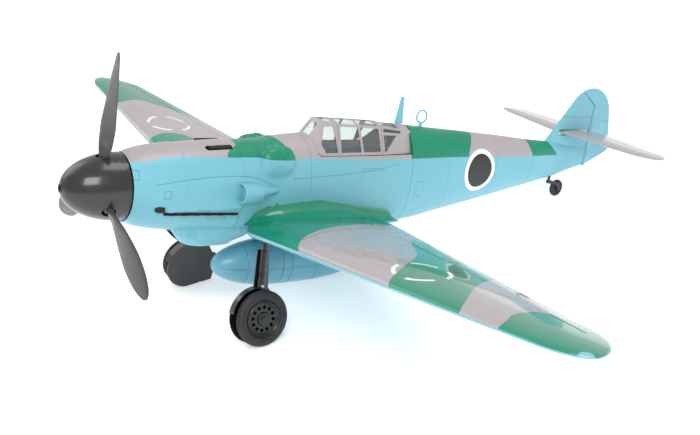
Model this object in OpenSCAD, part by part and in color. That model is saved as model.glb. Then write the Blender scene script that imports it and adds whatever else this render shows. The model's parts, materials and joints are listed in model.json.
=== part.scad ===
// Radio-controlled low-wing fighter, about 1.1 m span, built from moulded shells and
// plug-in wing panels, standing on its three wheels.
//
// Every module works in the aircraft's own axes: X to port, Y aft from the spinner tip
// (the "station"), Z up from the propeller shaft. The last module, parked(), pitches the
// whole aircraft nose-up on its wheels and puts the origin on the ground under its middle.

/* [Fuselage] */
// Station of the front edge of the engine cowl
cowl_front = 77; // [76:0.5:79]
// Station where the front and rear mouldings meet
split_station = 514; // [512:1:518]
// Station of the rear end of the rear moulding
tail_station = 934; // [930:0.5:934]
// Thickness of the moulded skin
skin = 2.4; // [2:0.1:3]
// Height of the cockpit sill above the shaft line
sill_z = 43; // [42:0.5:45]

/* [Wing] */
// Distance from the centreline to the wing tip
half_span = 595; // [570:1:610]
// Station of the leading edge, carried in to the centreline
wing_le_root = 232; // [230:0.5:234]
// Aft sweep of the leading edge, in mm per mm of span
wing_le_slope = 0.054; // [0.05:0.002:0.06]
// Station of the trailing edge, carried in to the centreline
wing_te_root = 482.5; // [478:0.5:486]
// Forward sweep of the trailing edge, in mm per mm of span
wing_te_slope = 0.249; // [0.245:0.001:0.252]
// Dihedral angle of each panel
dihedral = 7; // [6:0.1:8.5]
// Height of the wing's mean line, carried in to the centreline
wing_root_z = -60; // [-62:0.5:-58]
// Section thickness at the root, as a share of the chord
root_thickness = 0.14; // [0.135:0.005:0.145]
// Section thickness at the tip, as a share of the chord
tip_thickness = 0.115; // [0.11:0.005:0.125]
// Outside diameter of the tube that joins the panels
spar_d = 12; // [10:0.5:13]

/* [Tail] */
// Distance from the centreline to the tip of the tailplane
tail_half_span = 178; // [170:1:182]
// Height of the tailplane above the shaft line
tailplane_z = 65; // [64:0.5:66]
// Station of the elevator's hinge line
elevator_hinge = 928; // [926:0.5:929]
// Station of the rudder's hinge line
rudder_hinge = 941; // [940.5:0.5:943]

/* [Propeller] */
// Tip radius of the three-bladed propeller
prop_r = 169; // [150:1:178]
// Station of the plane that the blades turn in
prop_plane = 50; // [48:1:52]
// Radius of the spinner at its backplate
spinner_r = 43; // [42:0.5:43.5]
// Length of the spinner from its tip to the front of the backplate
spinner_len = 72; // [71:0.5:73]

/* [Landing gear] */
// Distance from the centreline to the leg's trunnion
trunnion_x = 79; // [77:0.5:81]
// Station of the trunnion
trunnion_s = 251; // [249:0.5:253]
// Height of the trunnion
trunnion_z = -55.5; // [-56.5:0.5:-54.5]
// Length of the leg from its trunnion to the axle
leg_len = 103; // [101:1:105]
// Outward lean of the leg and its wheel
leg_camber = 11; // [9:0.5:13]
// Forward rake of the leg
leg_rake = 6; // [4:0.5:8]
// Aft sweep of the leg when it is stowed in the wing
stow_sweep = 31; // [30:0.5:32]
// Main tyre radius
tyre_r = 37.8; // [36:0.2:38]
// Main tyre width
tyre_w = 13; // [12:0.5:13]
// Distance from the leg's centreline to the wheel's mid plane
wheel_offset = 11.2; // [11.2:0.1:12]
// Tail tyre radius
tail_tyre_r = 14.4; // [13:0.2:15]

/* [Drop tank] */
// Station of the tank's nose
tank_nose = 219; // [215:1:225]
// Length of the tank
tank_len = 275; // [260:1:290]
// Radius of the tank
tank_r = 34.5; // [33:0.5:35]
// Height of the tank's centreline
tank_z = -120; // [-122:1:-118]

/* [Hidden] */
$fn = 48;

sky = [0.52, 0.74, 0.82];
green = [0.16, 0.52, 0.40];
grey = [0.62, 0.62, 0.64];
black = [0.09, 0.09, 0.10];
steel = [0.70, 0.71, 0.73];
clear = [0.80, 0.88, 0.92, 0.4];
ply = [0.76, 0.62, 0.42];

// Air gap between mouldings that only rest against each other.
seam = 0.3;
// Gap round a moving surface.
play = 0.8;
// Radial clearance of a shaft or pin that turns in its hole.
running = 0.05;
// Anything this long passes right through.
through = 400;

// ---------------------------------------------------------------- fuselage shape

// Each row: station, half width, top, bottom, height of the widest point, roundness.
STATIONS = [
    [77, 42.5, 43, -45, 0, 2], [95, 44.5, 49, -52, 0, 2.05], [116, 46, 52.5, -56, 0, 2.1],
    [150, 47, 55, -61, -1, 2.2], [200, 47.5, 57.5, -67, -3, 2.3], [250, 48, 60, -70, -5, 2.3],
    [300, 48, 63, -72, -6, 2.3], [343, 47.5, 66, -72.5, -6, 2.3], [420, 46.5, 72, -72.5, -6, 2.3],
    [480, 44.5, 77.5, -72, -4, 2.25], [514, 43, 77.8, -71, -2, 2.2], [549, 41.5, 75, -68, 0, 2.15],
    [590, 38, 71.5, -61, 2, 2.1], [633, 33.8, 68, -54, 5, 2.1], [700, 29, 62, -43, 8, 2],
    [759, 24.8, 56, -32, 11, 2], [792, 22, 52.5, -26, 13, 2], [833, 17, 49.5, -18.5, 15, 2],
    [873, 12.5, 47.5, -11, 18, 2], [905, 9, 46, -2.5, 21, 2], [934, 6.5, 45, 3.5, 24, 2]];
ring_points = 28;

// The chin fairing under the cowl: station, half width, bottom.
CHIN = [[149, 24, -66], [158, 30, -76], [172, 33, -83], [192, 34, -85.5], [217, 34, -85.5],
    [242, 31, -80], [268, 25, -73.5]];
chin_roof = -45;

function rounded(v, n) = sign(v) * pow(abs(v), 2 / n);

function oval(s, half, top, bottom, mid, n, points) =
    [for (k = [0:points - 1]) let (a = 360 * k / points)
        [half * rounded(cos(a), n), s,
         mid + rounded(sin(a), n) * (a < 180 ? top - mid : mid - bottom)]];

function body_ring(row, inset) =
    oval(row[0], row[1] - inset, row[2] - inset, row[3] + inset, row[4], row[5], ring_points);

function blend(a, b, t) = a + (b - a) * t;

// The row of fuselage sizes at any station.
function body_at(s) =
    let (i = max([for (k = [0:len(STATIONS) - 2]) STATIONS[k][0] <= s ? k : 0]),
         t = (s - STATIONS[i][0]) / (STATIONS[i + 1][0] - STATIONS[i][0]))
    blend(STATIONS[i], STATIONS[i + 1], t);

// One solid through a list of rings, a hull from each ring to the next.
module loft(rings)
    for (i = [0:len(rings) - 2])
        hull() {
            both = concat(rings[i], rings[i + 1]);
            polyhedron(both, [[for (k = [0:len(both) - 1]) k]]);
        }

module body_solid(from, to, inset) {
    rows = concat([body_at(from)], [for (r = STATIONS) if (r[0] > from + 1 && r[0] < to - 1) r],
        [body_at(to)]);
    loft([for (r = rows) body_ring(r, inset)]);
}

// Blisters over the guns' ammunition feeds, one each side.
module gun_blisters(grow)
    for (side = [-1, 1])
        translate([side * 35, 281, 34])
            scale([14.5 + grow, 27 + grow, 24.5 + grow])
                sphere(r = 1, $fn = 24);

module chin_solid(inset)
    loft([for (r = CHIN)
        oval(r[0], r[1] - inset, chin_roof, r[2] + inset, (chin_roof + r[2]) / 2, 2.4, 20)]);

// Everything outside the fuselage skin, for trimming what meets it.
module body_outside(grow) {
    body_solid(cowl_front, tail_station, -grow);
    chin_solid(-grow);
    gun_blisters(grow);
}

// ---------------------------------------------------------------- canopy shape

hood_front = 381;
hood_rear = 458;
canopy_end = 520;
canopy_gap = 0.7;
pane = 1;

// Half section of the glasshouse: half width at the sill, at the roof edge, edge and ridge heights.
function glass_section(s, sill, roof, edge_z, ridge_z, inset) =
    [for (p = [[sill - inset, sill_z - (inset > 0 ? 2 : 0)], [roof - inset, edge_z - inset],
               [0, ridge_z - inset], [inset - roof, edge_z - inset],
               [inset - sill, sill_z - (inset > 0 ? 2 : 0)]]) [p[0], s, p[1]]];

module section_hull(points)
    hull()
        polyhedron(points, [[for (k = [0:len(points) - 1]) k]]);

module windscreen_solid(inset)
    section_hull(concat(
        [for (x = [-1, 1]) each [
            [x * (14 - inset / 2), 341 + inset * 1.4, 63], [x * (13 - inset / 2), 358 + inset, 86 - inset],
            [x * (33 - inset), 346 + inset * 1.4, sill_z + 4], [x * (36.5 - inset), 352 + inset, sill_z]]],
        glass_section(hood_front - canopy_gap, 37.5, 22, 84, 88.5, inset)));

module hood_solid(inset, from = hood_front, to = hood_rear)
    section_hull(concat(
        glass_section(from, 37.5, 22, 84, 88.5, inset),
        glass_section(to, 37, 22, 80, 84.5, inset)));

module rear_solid(inset)
    section_hull(concat(
        glass_section(hood_rear + canopy_gap, 37, 22, 80, 84.5, inset),
        glass_section(500, 34, 22, 74.5, 79.5, inset),
        glass_section(canopy_end, 30, 18, 71.5, 77.8, inset)));

// A window through both sides, given by its corners in side view.
module side_window(corners)
    rotate([90, 0, 90])
        linear_extrude(through, center = true)
            offset(1.2, $fn = 16)
                offset(-1.2)
                    polygon(corners);

module roof_window(half, from, to)
    translate([-half, from, 60])
        cube([2 * half, to - from, 60]);

// ---------------------------------------------------------------- fuselage pieces

module shell(from, to)
    difference() {
        union() {
            body_solid(from, to, 0);
            if (from < 100) {
                chin_solid(0);
                gun_blisters(0);
            }
        }
        // The cavity runs past both open ends.
        body_solid(from - 2, to + 2, skin);
        if (from < 100)
            chin_solid(skin);
    }

module spar_axis(r, length)
    translate([0, spar_s, spar_z])
        rotate([0, 90, 0])
            cylinder(r = r, h = length, center = true);

spar_s = 318;
spar_z = -48;

module front_fuselage() color(sky)
    difference() {
        shell(cowl_front, split_station);
        // Cockpit opening under the three canopy sections
        translate([-34, 345, sill_z - 6])
            cube([68, 158, 80]);
        rotate([90, 0, 90])
            linear_extrude(through, center = true)
                polygon([[340.4, 120], [340.4, 63], [345.4, 46.4], [351.4, sill_z - 0.4],
                    [split_station + 1, sill_z - 0.4], [split_station + 1, 120]]);
        // Chin intake mouth
        translate([0, 146, -70])
            rotate([-40, 0, 0])
                scale([1, 1, 0.32])
                    rotate([-90, 0, 0])
                        cylinder(r = 15, h = 16, center = true, $fn = 32);
        // Troughs for the gun barrels
        for (side = [-1, 1])
            translate([side * gun_x, gun_from - 3, gun_z])
                rotate([-90, 0, 0])
                    cylinder(r = 4.4, h = gun_len + 3, $fn = 24);
        spar_axis(spar_d / 2 + 0.1, through);
        // Slots for the exhaust stubs
        for (side = [0, 1])
            mirror([side, 0, 0])
                translate([40, 102, exhaust_z - 2.4])
                    cube([12, 127, 4.8]);
    }

module rear_fuselage() color(sky)
    difference() {
        shell(split_station + seam, tail_station);
        // Hole for the steerable tail-wheel post
        translate([0, tail_post_s, -40])
            cylinder(r = tail_post_r + 3.2, h = 60);
        // Seat for the rear end of the canopy
        translate([-60, split_station - 5, 70.4])
            cube([120, canopy_end - split_station + 5.4, 30]);
        fin_solid(seam);
    }

// Plywood ring that keys the two mouldings together.
module joint_former() color(ply)
    translate([0, split_station - 8, 0])
        difference() {
            former_disc(split_station - 8, skin + seam, 16);
            former_disc_hole(split_station - 8, skin + 8, 16);
            translate([-60, -1, sill_z - 6])
                cube([120, 30, 80]);
        }

module former_disc(s, inset, thick)
    rotate([-90, 0, 0])
        linear_extrude(thick)
            polygon([for (p = body_ring(body_at(s + thick), inset)) [p[0], -p[2]]]);

module former_disc_hole(s, inset, thick)
    translate([0, -1, 0])
        former_disc(s, inset, thick + 2);

// ---------------------------------------------------------------- power

firewall_s = 132;
motor_r = 22;
shaft_r = 2.5;
mount_bolt_r = 1.5;
mount_circle = 14;

module firewall() color(ply)
    translate([0, firewall_s, 0])
        difference() {
            former_disc(firewall_s - 5, skin + seam, 5);
            for (a = [45:90:315])
                rotate([0, a, 0])
                    translate([mount_circle, -1, 0])
                        rotate([-90, 0, 0])
                            cylinder(r = mount_bolt_r + 0.1, h = 8);
            translate([0, -1, 0])
                rotate([-90, 0, 0])
                    cylinder(r = 5, h = 8);
        }

module along_shaft(s) translate([0, s, 0]) rotate([-90, 0, 0]) children();

module motor_mount() color(steel)
    along_shaft(firewall_s - 4)
        difference() {
            for (a = [45, 135])
                rotate(a)
                    translate([-18, -4.5, 0])
                        cube([36, 9, 3.9]);
            for (a = [45:90:315])
                rotate(a)
                    translate([mount_circle, 0, -1])
                        cylinder(r = mount_bolt_r + 0.1, h = 8);
            translate([0, 0, -1])
                cylinder(r = 5, h = 8);
        }

module motor_stator() color(steel)
    along_shaft(92)
        difference() {
            union() {
                cylinder(r = 17, h = 20);
                translate([0, 0, 20])
                    cylinder(r = 6, h = 10);
                translate([0, 0, 29])
                    cylinder(r = 11, h = 6.9);
            }
            translate([0, 0, -1])
                cylinder(r = shaft_r + running, h = 60);
        }

module motor_bell() color(black)
    along_shaft(87)
        difference() {
            cylinder(r = motor_r, h = 31);
            translate([0, 0, 4])
                cylinder(r = motor_r - 3, h = 40);
            for (a = [0:60:300])
                rotate(a)
                    translate([12, 0, -1])
                        cylinder(r = 4, h = 6);
            translate([0, 0, -1])
                cylinder(r = shaft_r + 0.02, h = 8);
        }

module motor_shaft() color(steel)
    along_shaft(28)
        cylinder(r = shaft_r, h = 98);

module spinner_backplate() color(black)
    along_shaft(spinner_len + 0.1)
        difference() {
            union() {
                cylinder(r = spinner_r, h = 2.4);
                translate([0, 0, -8])
                    cylinder(r = 9, h = 12.4);
            }
            translate([0, 0, -10])
                cylinder(r = shaft_r + 0.02, h = 20);
        }

// Quarter ellipse from the spinner's tip to its base, as (radius, station) pairs.
function spinner_curve(r, length, from) =
    [for (a = [0:6:90]) let (s = from + (length - from) * (1 - cos(a)))
        [r * sqrt(max(0, 1 - pow((length - s) / length, 2))), s]];

muzzle_r = 5;

module spinner_cone() color(black)
    along_shaft(0)
        difference() {
            rotate_extrude($fn = 72)
                polygon(concat([[0, 1.2]], spinner_curve(spinner_r, spinner_len, 1.2), [[0, spinner_len]]));
            rotate_extrude($fn = 72)
                polygon(concat([[0, 9]], spinner_curve(spinner_r - 2, spinner_len, 9),
                    [[spinner_r - 2, spinner_len + 1], [0, spinner_len + 1]]));
            translate([0, 0, -1])
                cylinder(r = muzzle_r, h = 6);
            for (a = blade_angles)
                rotate(a)
                    translate([0, -blade_root_r - 2.5, prop_plane - 9])
                        cube([80, 2 * blade_root_r + 5, 18]);
        }

blade_root_r = 6;
// Blade directions in the (x, -z) plane that along_shaft() turns upright.
blade_angles = [-87, 33, 153];

// Each row: share of the tip radius, chord, thickness, pitch angle.
BLADE = [[0.13, 11, 9, 20], [0.24, 17, 8, 18], [0.3, 24, 7, 16], [0.36, 30, 6, 11], [0.5, 40, 4.6, 3],
    [0.66, 40, 3.6, -4], [0.82, 34, 2.8, -8], [0.93, 23, 2.2, -10], [0.98, 14, 1.8, -10], [1, 6, 1.2, -10]];
// How far aft the tips stand of the roots
blade_rake = 8;

function blade_ring(row) =
    [for (k = [0:11]) let (a = 30 * k, c = row[1] / 2 * cos(a), t = row[2] / 2 * sin(a))
        [row[0] * prop_r, c * cos(row[3]) - t * sin(row[3]),
            c * sin(row[3]) + t * cos(row[3]) + blade_rake * row[0]]];

module propeller() color(black)
    along_shaft(prop_plane)
        difference() {
            union() {
                for (a = blade_angles)
                    rotate(a) {
                        loft([for (row = BLADE) blade_ring(row)]);
                        rotate([0, 90, 0])
                            cylinder(r = blade_root_r, h = 30, $fn = 24);
                    }
                translate([0, 0, -9])
                    cylinder(r = 13, h = 22.8);
            }
            translate([0, 0, -30])
                cylinder(r = shaft_r + 0.1, h = 60);
        }

module prop_nut() color(steel)
    along_shaft(prop_plane - 17)
        difference() {
            union() {
                translate([0, 0, 7])
                    cylinder(r = 7, h = 0.9);
                cylinder(r = 5, h = 7, $fn = 6);
            }
            translate([0, 0, -1])
                cylinder(r = shaft_r + 0.02, h = 20);
        }

// ---------------------------------------------------------------- equipment

module battery_tray() color(ply)
    translate([-26, 140, -36])
        cube([52, 170, 3]);

module battery() color([0.18, 0.22, 0.50])
    translate([-21, 150, -32.8])
        cube([42, 132, 28]);

module speed_controller() color(black)
    translate([-16, 142, -50])
        cube([32, 66, 12]);

module receiver() color(black)
    translate([-14, 440, -50])
        cube([28, 46, 12]);

module servo(length, width, height) {
    translate([-length / 2, -width / 2, 0])
        cube([length, width, height]);
    translate([length / 2 - width / 2, 0, height])
        cylinder(r = width * 0.42, h = 2);
}

module tail_servos() color(black)
    for (side = [-1, 1])
        translate([side * 12, 545, -20])
            rotate([0, 0, 90])
                servo(30, 12, 28);

// ---------------------------------------------------------------- cockpit

tub_floor = -2;

module cockpit_tub() color([0.20, 0.21, 0.23])
    difference() {
        union() {
            translate([-31, 348, tub_floor])
                cube([62, 150, sill_z - 8 - tub_floor]);
            // Coaming over the instrument panel
            translate([0, 363, sill_z - 10])
                rotate([90, 0, 0])
                    intersection() {
                        cylinder(r = 25, h = 9, center = true);
                        translate([-30, 0, -10])
                            cube([60, 40, 20]);
                    }
        }
        translate([-28, 368, tub_floor + 2])
            cube([56, 127, 80]);
    }

module pilot_seat() color([0.16, 0.17, 0.18])
    translate([0, 412, tub_floor + 2.1]) {
        translate([-14, 0, 0])
            cube([28, 27, 9]);
        translate([0, 25, 0])
            rotate([-12, 0, 0]) {
                translate([-14, 0, 1])
                    cube([28, 4, 26]);
                translate([0, 0, 27])
                    rotate([-90, 0, 0])
                        cylinder(r = 14, h = 4, $fn = 32);
            }
    }

// Panes end just above the sill.
module below_sill()
    translate([-60, 330, sill_z - 9.9])
        cube([120, 200, 10]);

module windscreen_frame() color(grey)
    difference() {
        windscreen_solid(0);
        windscreen_solid(pane);
        // Front pane
        hull()
            for (p = [[9, 66], [8.5, 82]], x = [-1, 1])
                translate([x * p[0], 338, p[1]])
                    cube([0.2, 23, 0.2]);
        roof_window(11, 364, 377);
        side_window([[353, 57], [361, 80], [373.5, 81], [379, 46.5], [358.5, 46.5]]);
    }

module windscreen_glass() color(clear)
    difference() {
        windscreen_solid(pane + 0.1);
        windscreen_solid(2 * pane);
        below_sill();
    }

module hood_frame() color(grey)
    difference() {
        hood_solid(0);
        hood_solid(pane, hood_front - 1, hood_rear + 1);
        side_window([[384.5, 46.5], [384.5, 81.5], [416, 80], [420, 46.5]]);
        side_window([[424, 46.5], [420, 80], [453, 77.5], [455, 46.5]]);
        roof_window(18.5, 384, 418);
        roof_window(18.5, 421, 454);
    }

module hood_glass() color(clear)
    difference() {
        hood_solid(pane + 0.1, hood_front + 0.5, hood_rear - 0.5);
        hood_solid(2 * pane, hood_front - 1, hood_rear + 1);
        below_sill();
    }

module rear_canopy_frame() color(grey)
    difference() {
        rear_solid(0);
        rear_solid(pane);
        side_window([[462, 73], [462, 78], [495, 73.8], [495, 70.5]]);
        side_window([[462, 69], [487, 68], [465.5, 46.5], [462, 46.5]]);
        roof_window(16, 463, 495);
        translate([-60, split_station, 40])
            cube([120, 20, 30.7]);
    }

module rear_canopy_glass() color(clear)
    difference() {
        rear_solid(pane + 0.1);
        rear_solid(2 * pane);
        below_sill();
        translate([-60, 498, 30])
            cube([120, 60, 80]);
    }

// ---------------------------------------------------------------- fittings on the fuselage

gun_x = 19;
gun_z = 52.2;
gun_from = 184;
gun_len = 34;

module gun_barrels() color(black)
    for (side = [-1, 1])
        translate([side * gun_x, gun_from, gun_z])
            rotate([-90, 0, 0])
                difference() {
                    cylinder(r = 3.2, h = gun_len - 0.4);
                    translate([0, 0, -1])
                        cylinder(r = 1.8, h = 13);
                }

exhaust_z = -25.5;

module exhaust_stacks() color(black)
    for (side = [-1, 1]) {
        translate([side * 44.6 - 1.5, 102.4, exhaust_z - 2])
            cube([3, 126.2, 4]);
        for (k = [0:5])
            translate([side * 46.5, 109 + 20.5 * k, exhaust_z])
                scale([0.75, 1.6, 1])
                    rotate([0, 0, side * -22])
                        translate([0, 0, -1.9])
                            cylinder(r = 4.2, h = 3.8, $fn = 20);
    }

scoop_s = 221;
scoop_x = 54;

module supercharger_scoop() color(sky)
    difference() {
        translate([scoop_x, scoop_s, 1])
            rotate([-94, 0, 7])
                cylinder(r1 = 12.2, r2 = 2.5, h = 54);
        translate([scoop_x, scoop_s - 1, 1])
            rotate([-94, 0, 7])
                cylinder(r1 = 10.6, r2 = 6, h = 24);
        body_solid(180, 320, -seam);
        gun_blisters(seam);
    }

module antenna_mast() color(sky)
    hull() {
        translate([0, 507.5, 79.8])
            scale([0.22, 1, 1])
                cylinder(r = 8, h = 1, $fn = 24);
        translate([0, 508, 119])
            scale([0.3, 1, 1])
                cylinder(r = 3.2, h = 1, $fn = 24);
    }

module direction_loop() color(sky)
    translate([0, 551, 0]) {
        translate([0, 0, 75.1])
            cylinder(r1 = 3.4, r2 = 1.6, h = 6.4);
        translate([0, 0, 90.5])
            rotate([90, 0, 90])
                rotate_extrude()
                    translate([9.6, 0])
                        circle(r = 1.3, $fn = 16);
    }

// Quarter-ellipse nose and a slimmer tail, as (radius, distance from the nose) pairs.
function tank_curve() =
    concat([for (a = [0:15:90]) [tank_r * sin(a), tank_len * 0.36 * (1 - cos(a))]],
        [for (a = [90:-15:0]) [tank_r * pow(sin(a), 1.25), tank_len * (0.5 + 0.5 * cos(a))]]);

module drop_tank() color([0.42, 0.62, 0.70]) {
    translate([0, tank_nose, tank_z])
        rotate([-90, 0, 0])
            rotate_extrude()
                polygon(tank_curve());
    // Filler cap
    translate([0, 284, tank_z + tank_r - 3])
        cylinder(r = 4, h = 6, $fn = 24);
}

rack_from = 305;
rack_len = 96;

module tank_rack() color(black)
    difference() {
        union() {
            translate([-5, rack_from, tank_z + tank_r - 6])
                cube([10, rack_len, 26]);
            for (s = [rack_from + 8, rack_from + rack_len - 16])
                translate([-16, s, tank_z + tank_r + 2])
                    cube([32, 5, 4]);
        }
        translate([0, tank_nose, tank_z])
            rotate([-90, 0, 0])
                cylinder(r = tank_r + seam, h = tank_len);
        body_solid(280, 440, -seam);
    }

// ---------------------------------------------------------------- wing shape

tip_from = half_span - 52;
// Share of the tip's narrowing that is taken from the leading edge.
tip_lead = 0.34;
fillet_from = 36;
fillet_reach = 46;
fillet_rise = 38;

function wing_le(x) = wing_le_root + wing_le_slope * x;
function wing_te(x) = wing_te_root - wing_te_slope * x;
function wing_z(x) = wing_root_z + x * tan(dihedral);

// Half thickness of a symmetric section of thickness t at share f of the chord.
function half_thick(f, t) =
    5 * t * (0.2969 * sqrt(f) - 0.126 * f - 0.3516 * f * f + 0.2843 * pow(f, 3) - 0.1015 * pow(f, 4));
function camber(f) = 4 * 0.016 * f * (1 - f);
function tip_share(x) = x <= tip_from ? 1 : sqrt(max(0, 1 - pow((x - tip_from) / (half_span - tip_from), 2)));
function wing_t(x) = blend(root_thickness, tip_thickness, x / half_span);
function fillet(x, f) =
    fillet_rise * pow(max(0, 1 - (x - fillet_from) / fillet_reach), 3) * pow(sin(180 * pow(f, 0.8)), 0.7);

SHARES = [for (k = [0:10]) (1 - cos(18 * k)) / 2];

function wing_ring(x) =
    let (k = tip_share(x), first = wing_le(x) + 16 * pow(max(0, 1 - (x - fillet_from) / 24), 2),
         full = wing_te(x) - first, c = full * max(k, 0.12), le = first + tip_lead * (full - c), t = wing_t(x))
    concat(
        [for (i = [10:-1:0]) let (f = SHARES[i])
            [x, le + f * c, wing_z(x) + c * (camber(f) + half_thick(f, t)) + 0.3 + fillet(x, f)]],
        [for (i = [1:10]) let (f = SHARES[i])
            [x, le + f * c, wing_z(x) + c * (camber(f) - half_thick(f, t)) - 0.3]]);

WING_X = [fillet_from, 41, 46, 52, 60, 70, 84, 180, 300, 420, tip_from, half_span - 30, half_span - 16,
    half_span - 6, half_span - 1.5, half_span];

module wing_solid()
    loft([for (x = WING_X) wing_ring(x)]);

// Hinged surfaces: inner and outer span position, chord of the surface at each.
FLAP = [60, 284, 47, 33];
AILERON = [291, 545, 29, 18.2];

// A point on a surface's hinge line, and the radius of its rounded nose there.
function hinge_point(x, chord) =
    let (c = wing_te(x) - wing_le(x), f = 1 - chord / c) [x, wing_te(x) - chord, wing_z(x) + c * camber(f)];
function nose_r(x, chord) =
    let (c = wing_te(x) - wing_le(x)) c * half_thick(1 - chord / c, wing_t(x)) + 0.25;

// Puts its children in a surface's hinge axes: X out along the hinge, Y aft.
module hinge_frame(plan) {
    a = hinge_point(plan[0], plan[2]);
    d = hinge_point(plan[1], plan[3]) - a;
    translate(a)
        rotate([0, -atan2(d[2], norm([d[0], d[1]])), atan2(d[1], d[0])])
            children();
}

function hinge_len(plan) = norm(hinge_point(plan[1], plan[3]) - hinge_point(plan[0], plan[2]));

module hinge_prism(plan, gap) {
    r1 = nose_r(plan[0], plan[2]) + gap;
    r2 = nose_r(plan[1], plan[3]) + gap;
    span = hinge_len(plan);
    hinge_frame(plan)
        translate([0, 0, -50])
            linear_extrude(100)
                polygon([[-gap, gap > 0 ? -r1 : 0], [span + gap, gap > 0 ? -r2 : 0],
                    [span + gap, 90], [-gap, 90]]);
}

// Chord of a surface measured square to its hinge, and the drop of its trailing edge below it.
function surface_chord(chord) = chord * cos(atan(wing_te_slope)) - 0.6;
function edge_drop(x, chord) = let (c = wing_te(x) - wing_le(x)) c * camber(1 - chord / c);

// A rounded nose on the hinge line, tapering to a thin trailing edge.
module surface_solid(plan) {
    span = hinge_len(plan);
    edge = [for (e = [[0, 0, 2], [span, 1, 3]], side = [-1, 1])
        [e[0], surface_chord(plan[e[2]]), side * 0.4 - edge_drop(plan[e[1]], plan[e[2]])]];
    hinge_frame(plan)
        hull() {
            rotate([0, 90, 0])
                cylinder(r1 = nose_r(plan[0], plan[2]), r2 = nose_r(plan[1], plan[3]), h = span, $fn = 32);
            polyhedron(edge, [[0, 1, 2, 3]]);
        }
}

// ---------------------------------------------------------------- aileron linkage

// Distances along the aileron hinge, ahead of it and below it.
link_x = 118;
link_run = 42;
link_drop = 15;
arm_r = 2.6;
link_pin_r = 0.9;

module link_frame() hinge_frame(AILERON) translate([link_x, 0, 0]) children();

// A flat lever of two eyes, hanging down from the origin.
module lever(thick, top_r, bottom_r)
    rotate([0, 90, 0])
        hull() {
            cylinder(r = top_r, h = thick, center = true, $fn = 24);
            translate([link_drop, 0, 0])
                cylinder(r = bottom_r, h = thick, center = true, $fn = 24);
        }

module aileron_arm() color("white")
    link_frame()
        translate([0, -link_run, 0]) {
            lever(1.6, 4, 2.4);
            // Pin that carries the front end of the rod
            translate([0, 0, -link_drop])
                rotate([0, 90, 0])
                    cylinder(r = link_pin_r, h = 5, $fn = 24);
        }

module aileron_rod() color(steel)
    link_frame()
        translate([3.2, 0, -link_drop])
            difference() {
                union() {
                    translate([0, -link_run, 0])
                        rotate([0, 90, 0])
                            cylinder(r = 2.2, h = 1.8, center = true);
                    rotate([0, 90, 0])
                        cylinder(r = 2.2, h = 1.8, center = true);
                    translate([0, -link_run + 1, 0])
                        rotate([-90, 0, 0])
                            cylinder(r = 0.8, h = link_run - 2, $fn = 24);
                }
                for (y = [-link_run, 0])
                    translate([0, y, 0])
                        rotate([0, 90, 0])
                            cylinder(r = link_pin_r + (y == 0 ? 0.4 : running), h = 6, center = true);
            }

module horn()
    link_frame() {
        lever(1.6, 3.5, 2.4);
        translate([0, 0, -link_drop])
            rotate([0, 90, 0])
                cylinder(r = link_pin_r, h = 5, $fn = 24);
    }

module servo_pocket(grow)
    link_frame()
        translate([-22 - grow, -link_run - 8 - grow, -20])
            cube([20 + 2 * grow, 23 + 2 * grow, 24 + grow]);

module wing_servo() {
    link_frame()
        translate([-22, -link_run - 8, -8])
            cube([20, 23, 11]);
    link_frame()
        translate([-2.1, -link_run, 0])
            rotate([0, 90, 0])
                cylinder(r = 3, h = 1.2, $fn = 24);
}

// Slots in the wing for the servo's arm and for the aileron's horn.
module arm_slot()
    link_frame()
        for (slot = [[-link_run - 9, 18, 36], [-12, 13, 28]])
            translate([-1.8, slot[0], -30])
                cube([7, slot[1], slot[2]]);

module wing_servos() color([0.20, 0.20, 0.22]) {
    wing_servo();
    mirror([1, 0, 0])
        wing_servo();
}

// ---------------------------------------------------------------- landing gear frames

// Tilt of the stowed leg, so that the wheel lies deeper in the wing.
tuck = 1.6;

module leg_down()
    translate([trunnion_x, trunnion_s, trunnion_z])
        rotate([0, -leg_camber, 0])
            rotate([-leg_rake, 0, 0])
                children();

module leg_stowed()
    translate([trunnion_x, trunnion_s, trunnion_z])
        rotate([0, -dihedral, 0])
            rotate([0, 0, stow_sweep])
                rotate([0, tuck - 90, 0])
                    children();

module wheel_place() translate([wheel_offset, 0, -leg_len]) rotate([0, 90, 0]) children();

// Recess in the underside of the wing for the leg, its wheel and the edge of the door, in leg axes.
module gear_well() {
    wheel_place()
        translate([0, 0, -60])
            cylinder(r = tyre_r + 7, h = 60 + tyre_w / 2 + 1.2, $fn = 40);
    translate([-60, -10, -leg_len])
        cube([60 + 6.5, 25.5, leg_len + 7]);
}

// ---------------------------------------------------------------- wing pieces

module wing_panel() {
    difference() {
        wing_solid();
        body_outside(seam);
        hinge_prism(FLAP, play);
        hinge_prism(AILERON, play);
        spar_axis(spar_d / 2 + 0.1, 2 * tube_reach + 2);
        leg_stowed()
            gear_well();
        leg_down()
            translate([-9, -9, -40])
                cube([18, 18, 49]);
        servo_pocket(0.5);
        arm_slot();
    }
}

tube_reach = 68;

module wing_left() color(green) wing_panel();

module wing_right() color(green) mirror([1, 0, 0]) wing_panel();

module wing_tube() color(black)
    difference() {
        spar_axis(spar_d / 2, 2 * tube_reach);
        spar_axis(spar_d / 2 - 1, 2 * tube_reach + 2);
    }

module flap_left() color(green) surface_solid(FLAP);

module flap_right() color(green) mirror([1, 0, 0]) surface_solid(FLAP);

module aileron() {
    surface_solid(AILERON);
    horn();
}

module aileron_left() color(green) aileron();

module aileron_right() color(green) mirror([1, 0, 0]) aileron();

module aileron_arm_left() aileron_arm();

module aileron_arm_right() mirror([1, 0, 0]) aileron_arm();

module aileron_rod_left() aileron_rod();

module aileron_rod_right() mirror([1, 0, 0]) aileron_rod();

// ---------------------------------------------------------------- tail

function tail_k(x) = abs(x) < 140 ? 1 : sqrt(max(0.02, 1 - pow((abs(x) - 140) / (tail_half_span - 140), 2)));

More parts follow.
